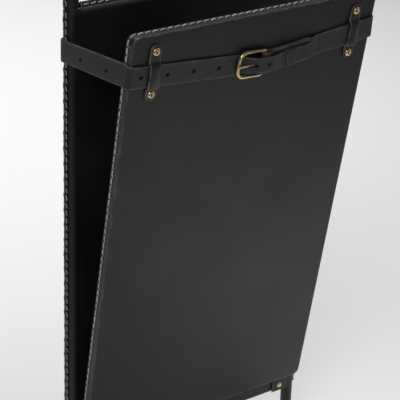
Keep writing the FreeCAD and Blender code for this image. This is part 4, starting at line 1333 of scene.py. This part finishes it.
def keeper_piece():
    """A leather loop sewn to the strap, round the tongue."""
    slope = belt_slope(KEEPER_U)
    along = U * math.cos(slope) + V * math.sin(slope)
    up = V * math.cos(slope) - U * math.sin(slope)
    centre = on_panel(KEEPER_U, belt_height(KEEPER_U), 0.0)
    half = bpy.context.scene.rack_belt.tongue_width / 2 + 0.95 * MM
    low, high = TONGUE_W - 1.85 * MM, TONGUE_W + 1.85 * MM
    path = rounded_path([(0, low), (half, low), (half, high), (-half, high), (-half, low),
                         (0, low)], [1.5 * MM] * 4, 1.2 * MM)[:-1]
    stations = []
    for k, spot in enumerate(path):
        way = (path[(k + 1) % len(path)] - path[k - 1]).normalized()
        normal = up * way.y - W * way.x
        section, edge = strap_section(12.5 * MM, 1.1 * MM, 0.45 * MM, 0.08 * MM)
        stations.append((centre + up * spot.x + W * spot.y, along, normal, section, edge))
    return sweep("belt_keeper_leather", stations, closed=True)


def hinge_tab(side):
    """A leather tab that folds where the front board turns."""
    out = HINGE_ROUND + 0.7 * MM
    up = 30 * MM
    y = HINGE.y + out
    bend = (y, HINGE.z + out * math.tan(PANEL_TILT / 2))
    top = (bend[0] - up * math.sin(PANEL_TILT), bend[1] + up * math.cos(PANEL_TILT))
    spots = rounded_path([(y, CROSS_Z - 5 * MM), bend, top], [out], 1.5 * MM)
    stations = []
    for k, spot in enumerate(spots):
        way = (spots[min(k + 1, len(spots) - 1)] - spots[max(k - 1, 0)]).normalized()
        section, edge = strap_section(22 * MM, 1.2 * MM, 0.5 * MM)
        stations.append((Vector((side * TAB_X, spot.x, spot.y)), X, Vector((0, way.y, -way.x)),
                         section, edge))
    return sweep(("left" if side < 0 else "right") + "_hinge_tab_leather", stations)


# ---------------------------------------------------------------- operators
SIDES = (("left", -1), ("right", 1))


class RACK_OT_front_cover(bpy.types.Operator):
    """Cover the front board: a face leather and a rear leather that meet at the edge seam"""
    bl_idname = "rack.front_cover"
    bl_label = "Front Board Cover"

    def execute(self, context):
        leather = cover_leather()
        face = board_shell("front_face_cover", front_face_rows(), W)
        finished(face, leather, "cover_leather", "front_panel", "front_face_leather")
        rear = board_shell("front_rear_cover", front_rear_rows(), -W)
        finished(rear, leather, "cover_leather", "front_panel", "front_rear_leather")
        return {"FINISHED"}


class RACK_OT_back_cover(bpy.types.Operator):
    """Cover the back panel: two halves round the uprights, sewn together at waving flanges"""
    bl_idname = "rack.back_cover"
    bl_label = "Back Panel Cover"

    def execute(self, context):
        leather = cover_leather()
        front = back_half("back_front_cover", -1)
        finished(front, leather, "cover_leather", "frame", "back_front_leather")
        rear = back_half("back_rear_cover", 1)
        finished(rear, leather, "cover_leather", "frame", "back_rear_leather")
        return {"FINISHED"}


class RACK_OT_tube_leather(bpy.types.Operator):
    """Sew leather round the handle, the legs and the foot bars"""
    bl_idname = "rack.tube_leather"
    bl_label = "Tube Leather"

    def execute(self, context):
        leather = cover_leather()
        finished(handle_cover(), leather, "cover_leather", "frame", "handle_leather")
        for word, side in SIDES:
            x = side * UPRIGHT_X
            top = CROSS_Z - SHEATH_R - 0.2 * MM
            leg = tube_sleeve(word + "_leg_sleeve", Vector((x, UPRIGHT_Y, FOOT_Z)),
                              Vector((x, UPRIGHT_Y, top)), Y, SHEATH_R)
            finished(leg, leather, "cover_leather", "frame", word + "_leg_leather")
            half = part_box(word + "_foot_leather")[1].y
            foot = tube_sleeve(word + "_foot_sleeve", Vector((x, -half, FOOT_Z)),
                               Vector((x, half, FOOT_Z)), -X * side, SHEATH_R)
            finished(foot, leather, "cover_leather", "frame", word + "_foot_leather")
        return {"FINISHED"}


class RACK_OT_stitching(bpy.types.Operator):
    """Sew the front board's edge seam, the back panel's side and top seams and the handle's seam with slanted
    saddle stitches in waxed thread
    """
    bl_idname = "rack.stitching"
    bl_label = "Saddle Stitches"

    def execute(self, context):
        settings = context.scene.rack_stitch
        pitch, slant = settings.pitch, settings.slant
        thread = thread_material()
        edge = stitches("front_edge_stitches", edge_stitch_places(pitch, slant), 11)
        finished(edge, thread, "saddle_thread", "front_panel", "front_edge_thread")
        top = stitches("back_top_stitches", top_stitch_places(pitch, slant), 12)
        finished(top, thread, "saddle_thread", "frame", "back_top_thread")
        handle = stitches("handle_stitches", handle_stitch_places(pitch, slant), 13,
                          FINE_THREAD)
        finished(handle, thread, "saddle_thread", "frame", "handle_thread")
        for word, side in SIDES:
            row = stitches(word + "_side_stitches", side_stitch_places(side, pitch, slant),
                           15 + side, FINE_THREAD)
            finished(row, thread, "saddle_thread", "frame", word + "_side_thread")
        return {"FINISHED"}


class RACK_OT_belt(bpy.types.Operator):
    """Lay the belt once round the rack, from its tongue to its fold round the buckle's bar"""
    bl_idname = "rack.belt"
    bl_label = "Belt"

    def execute(self, context):
        settings = context.scene.rack_belt
        belt = punched(belt_body(settings), belt_punches(settings))
        finished(belt, strap_leather(), "strap_leather", None, "belt_tongue", "left_belt_span",
                 "belt_rear_run", "right_belt_span", "belt_buckle_strap")
        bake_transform(belt)
        keeper = keeper_piece()
        finished(keeper, strap_leather(), "strap_leather", "front_panel", "belt_keeper")
        return {"FINISHED"}


class RACK_OT_belt_loops(bpy.types.Operator):
    """Make the four loops that hold the belt"""
    bl_idname = "rack.belt_loops"
    bl_label = "Belt Loops"

    def execute(self, context):
        half = context.scene.rack_belt.width / 2
        for word, side in SIDES:
            shift = belt_height(side * LOOP_U) - FRONT_LOOPS[side][0]
            front = belt_loop(word + "_front_loop_leather", *front_loop_frame(side),
                              shift - half, shift + half)
            finished(front, loop_leather(), "strap_leather", "front_panel", word + "_front_loop")
            rear = belt_loop(word + "_rear_loop_leather", *rear_loop_frame(side), -half, half)
            finished(rear, loop_leather(), "strap_leather", "frame", word + "_rear_loop")
        return {"FINISHED"}


class RACK_OT_rivets(bpy.types.Operator):
    """Set the loop rivets and the hinge studs"""
    bl_idname = "rack.rivets"
    bl_label = "Rivets and Studs"

    def execute(self, context):
        brass = brass_material()
        spacings = {side: place[1] for side, place in FRONT_LOOPS.items()}
        front = loop_rivets("front_loop_rivets_brass", front_loop_frame, spacings, 8 * MM)
        finished(front, brass, "brass", "front_panel", "front_loop_rivets")
        spacings = {-1: REAR_RIVET_SPACING, 1: REAR_RIVET_SPACING}
        rear = loop_rivets("rear_loop_rivets_brass", rear_loop_frame, spacings, 6 * MM)
        finished(rear, brass, "brass", "frame", "rear_loop_rivets")
        for word, side in SIDES:
            finished(hinge_stud(side), brass, "brass", "frame", word + "_hinge_stud")
        return {"FINISHED"}


class RACK_OT_buckle(bpy.types.Operator):
    """Make the brass buckle and its prong"""
    bl_idname = "rack.buckle"
    bl_label = "Buckle"

    def execute(self, context):
        brass = brass_material()
        wire = buckle_wire(context.scene.rack_brass.wire_radius)
        finished(wire, brass, "brass", "buckle", "buckle_frame")
        finished(prong_piece(), brass, "brass", "prong", "buckle_prong")
        return {"FINISHED"}


class RACK_OT_hinge_tabs(bpy.types.Operator):
    """Make the two leather tabs that the front board turns on"""
    bl_idname = "rack.hinge_tabs"
    bl_label = "Hinge Tabs"

    def execute(self, context):
        for word, side in SIDES:
            tab = hinge_tab(side)
            finished(tab, cover_leather(), "strap_leather", None, word + "_hinge_tab")
            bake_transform(tab)
        return {"FINISHED"}


class RACK_OT_frame_finish(bpy.types.Operator):
    """Finish the steel tubes, the boards inside the covers and the brass foot caps"""
    bl_idname = "rack.frame_finish"
    bl_label = "Frame Finish"

    def execute(self, context):
        finishes = {"tube_steel": lacquer_material(), "panel_board": plywood_material(),
                    "brass": brass_material("foot_brass", 0.25)}
        slots = {part["node"]: part["material_slot"] for part in frame["record"]["subparts"]}
        for name, node in frame["nodes"].items():
            if not node.hide_render:
                node.data.materials.clear()
                node.data.materials.append(finishes[slots[name]])
        return {"FINISHED"}


class RACK_OT_stage(bpy.types.Operator):
    """Set the floor, the soft light and the camera"""
    bl_idname = "rack.stage"
    bl_label = "Stage"

    def execute(self, context):
        settings = context.scene.rack_stage
        self.lay_floor()
        self.light(context.scene)
        self.aim_camera(context.scene, settings)
        context.scene.view_settings.view_transform = "Standard"
        return {"FINISHED"}

    def lay_floor(self):
        half, cells = 9.0, 6
        points = [Vector((-half + 2 * half * i / cells, -half + 2 * half * j / cells, 0.0))
                  for i in range(cells + 1) for j in range(cells + 1)]
        floor = new_object("studio_floor", points, grid_faces(cells + 1, cells + 1))
        floor.data.materials.append(floor_material())

    def light(self, scene):
        world = bpy.data.worlds.new("studio_air")
        world.use_nodes = True
        world.node_tree.nodes["Background"].inputs["Color"].default_value = (0.96, 0.97, 1.0, 1.0)
        world.node_tree.nodes["Background"].inputs["Strength"].default_value = 0.16
        scene.world = world
        # name, place, aim, size, spread in degrees, power
        lamps = (("floor_light", (0.25, 1.5, 2.7), (0.25, 1.5, 0.0), 2.4, 90, 27.0),
                 ("key_light", (-1.7, -1.5, 1.9), (0.0, 0.0, 0.5), 0.9, 60, 2.6),
                 ("near_light", (0.45, -0.55, 0.8), (0.25, -0.36, 0.0), 0.3, 70, 0.7),
                 ("side_light", (1.9, -0.4, 1.3), (0.0, 0.0, 0.4), 1.0, 120, 1.5))
        for name, place, aim, size, spread, power in lamps:
            lamp = bpy.data.lights.new(name, "AREA")
            lamp.shape = "SQUARE"
            lamp.size = size
            lamp.spread = math.radians(spread)
            lamp.energy = power
            obj = bpy.data.objects.new(name, lamp)
            obj.location = place
            toward = Vector(aim) - Vector(place)
            obj.rotation_euler = toward.to_track_quat("-Z", "Y").to_euler()
            scene.collection.objects.link(obj)

    def aim_camera(self, scene, settings):
        lens = bpy.data.cameras.new("camera")
        lens.lens = settings.lens
        lens.clip_start, lens.clip_end = 0.05, 60.0
        camera = bpy.data.objects.new("camera", lens)
        camera.location = PANEL_ORIGIN + Vector(settings.place)
        flat = math.cos(settings.elevation)
        forward = Vector((math.sin(settings.azimuth) * flat, math.cos(settings.azimuth) * flat,
                          -math.sin(settings.elevation)))
        level = forward.cross(Z).normalized()
        upright = level.cross(forward)
        up = upright * math.cos(settings.roll) - level * math.sin(settings.roll)
        right = forward.cross(up)
        camera.rotation_mode = "QUATERNION"
        matrix = camera.matrix_world.to_3x3()
        matrix.col[0], matrix.col[1], matrix.col[2] = right, up, -forward
        camera.rotation_quaternion = matrix.to_quaternion()
        scene.collection.objects.link(camera)
        scene.camera = camera


OPERATORS = (RACK_OT_front_cover, RACK_OT_back_cover, RACK_OT_tube_leather, RACK_OT_stitching,
             RACK_OT_belt, RACK_OT_belt_loops, RACK_OT_rivets, RACK_OT_buckle,
             RACK_OT_hinge_tabs, RACK_OT_frame_finish, RACK_OT_stage)
SETTINGS = {"rack_leather": RackLeatherSettings, "rack_stitch": RackStitchSettings,
            "rack_belt": RackBeltSettings, "rack_brass": RackBrassSettings,
            "rack_stage": RackStageSettings}


class RACK_PT_pieces(bpy.types.Panel):
    """The rack's sizes, colours and pieces"""
    bl_label = "Magazine Rack"
    bl_idname = "RACK_PT_pieces"
    bl_space_type = "VIEW_3D"
    bl_region_type = "UI"
    bl_category = "Rack"

    def draw(self, context):
        for name, kind in SETTINGS.items():
            box = self.layout.box()
            box.label(text=name.removeprefix("rack_").capitalize())
            for prop in kind.__annotations__:
                box.prop(getattr(context.scene, name), prop)
        for operator in OPERATORS:
            self.layout.operator(operator.bl_idname)


CLASSES = tuple(SETTINGS.values()) + OPERATORS + (RACK_PT_pieces,)


def register():
    for made in CLASSES:
        bpy.utils.register_class(made)
    for name, kind in SETTINGS.items():
        setattr(bpy.types.Scene, name, PointerProperty(type=kind))


def unregister():
    for name in SETTINGS:
        delattr(bpy.types.Scene, name)
    for made in reversed(CLASSES):
        bpy.utils.unregister_class(made)


def main():
    register()
    bpy.ops.rack.front_cover()
    bpy.ops.rack.back_cover()
    bpy.ops.rack.tube_leather()
    bpy.ops.rack.stitching()
    bpy.ops.rack.belt()
    bpy.ops.rack.belt_loops()
    bpy.ops.rack.rivets()
    bpy.ops.rack.buckle()
    bpy.ops.rack.hinge_tabs()
    bpy.ops.rack.frame_finish()
    bpy.ops.rack.stage()


if __name__ == "__main__":
    main()
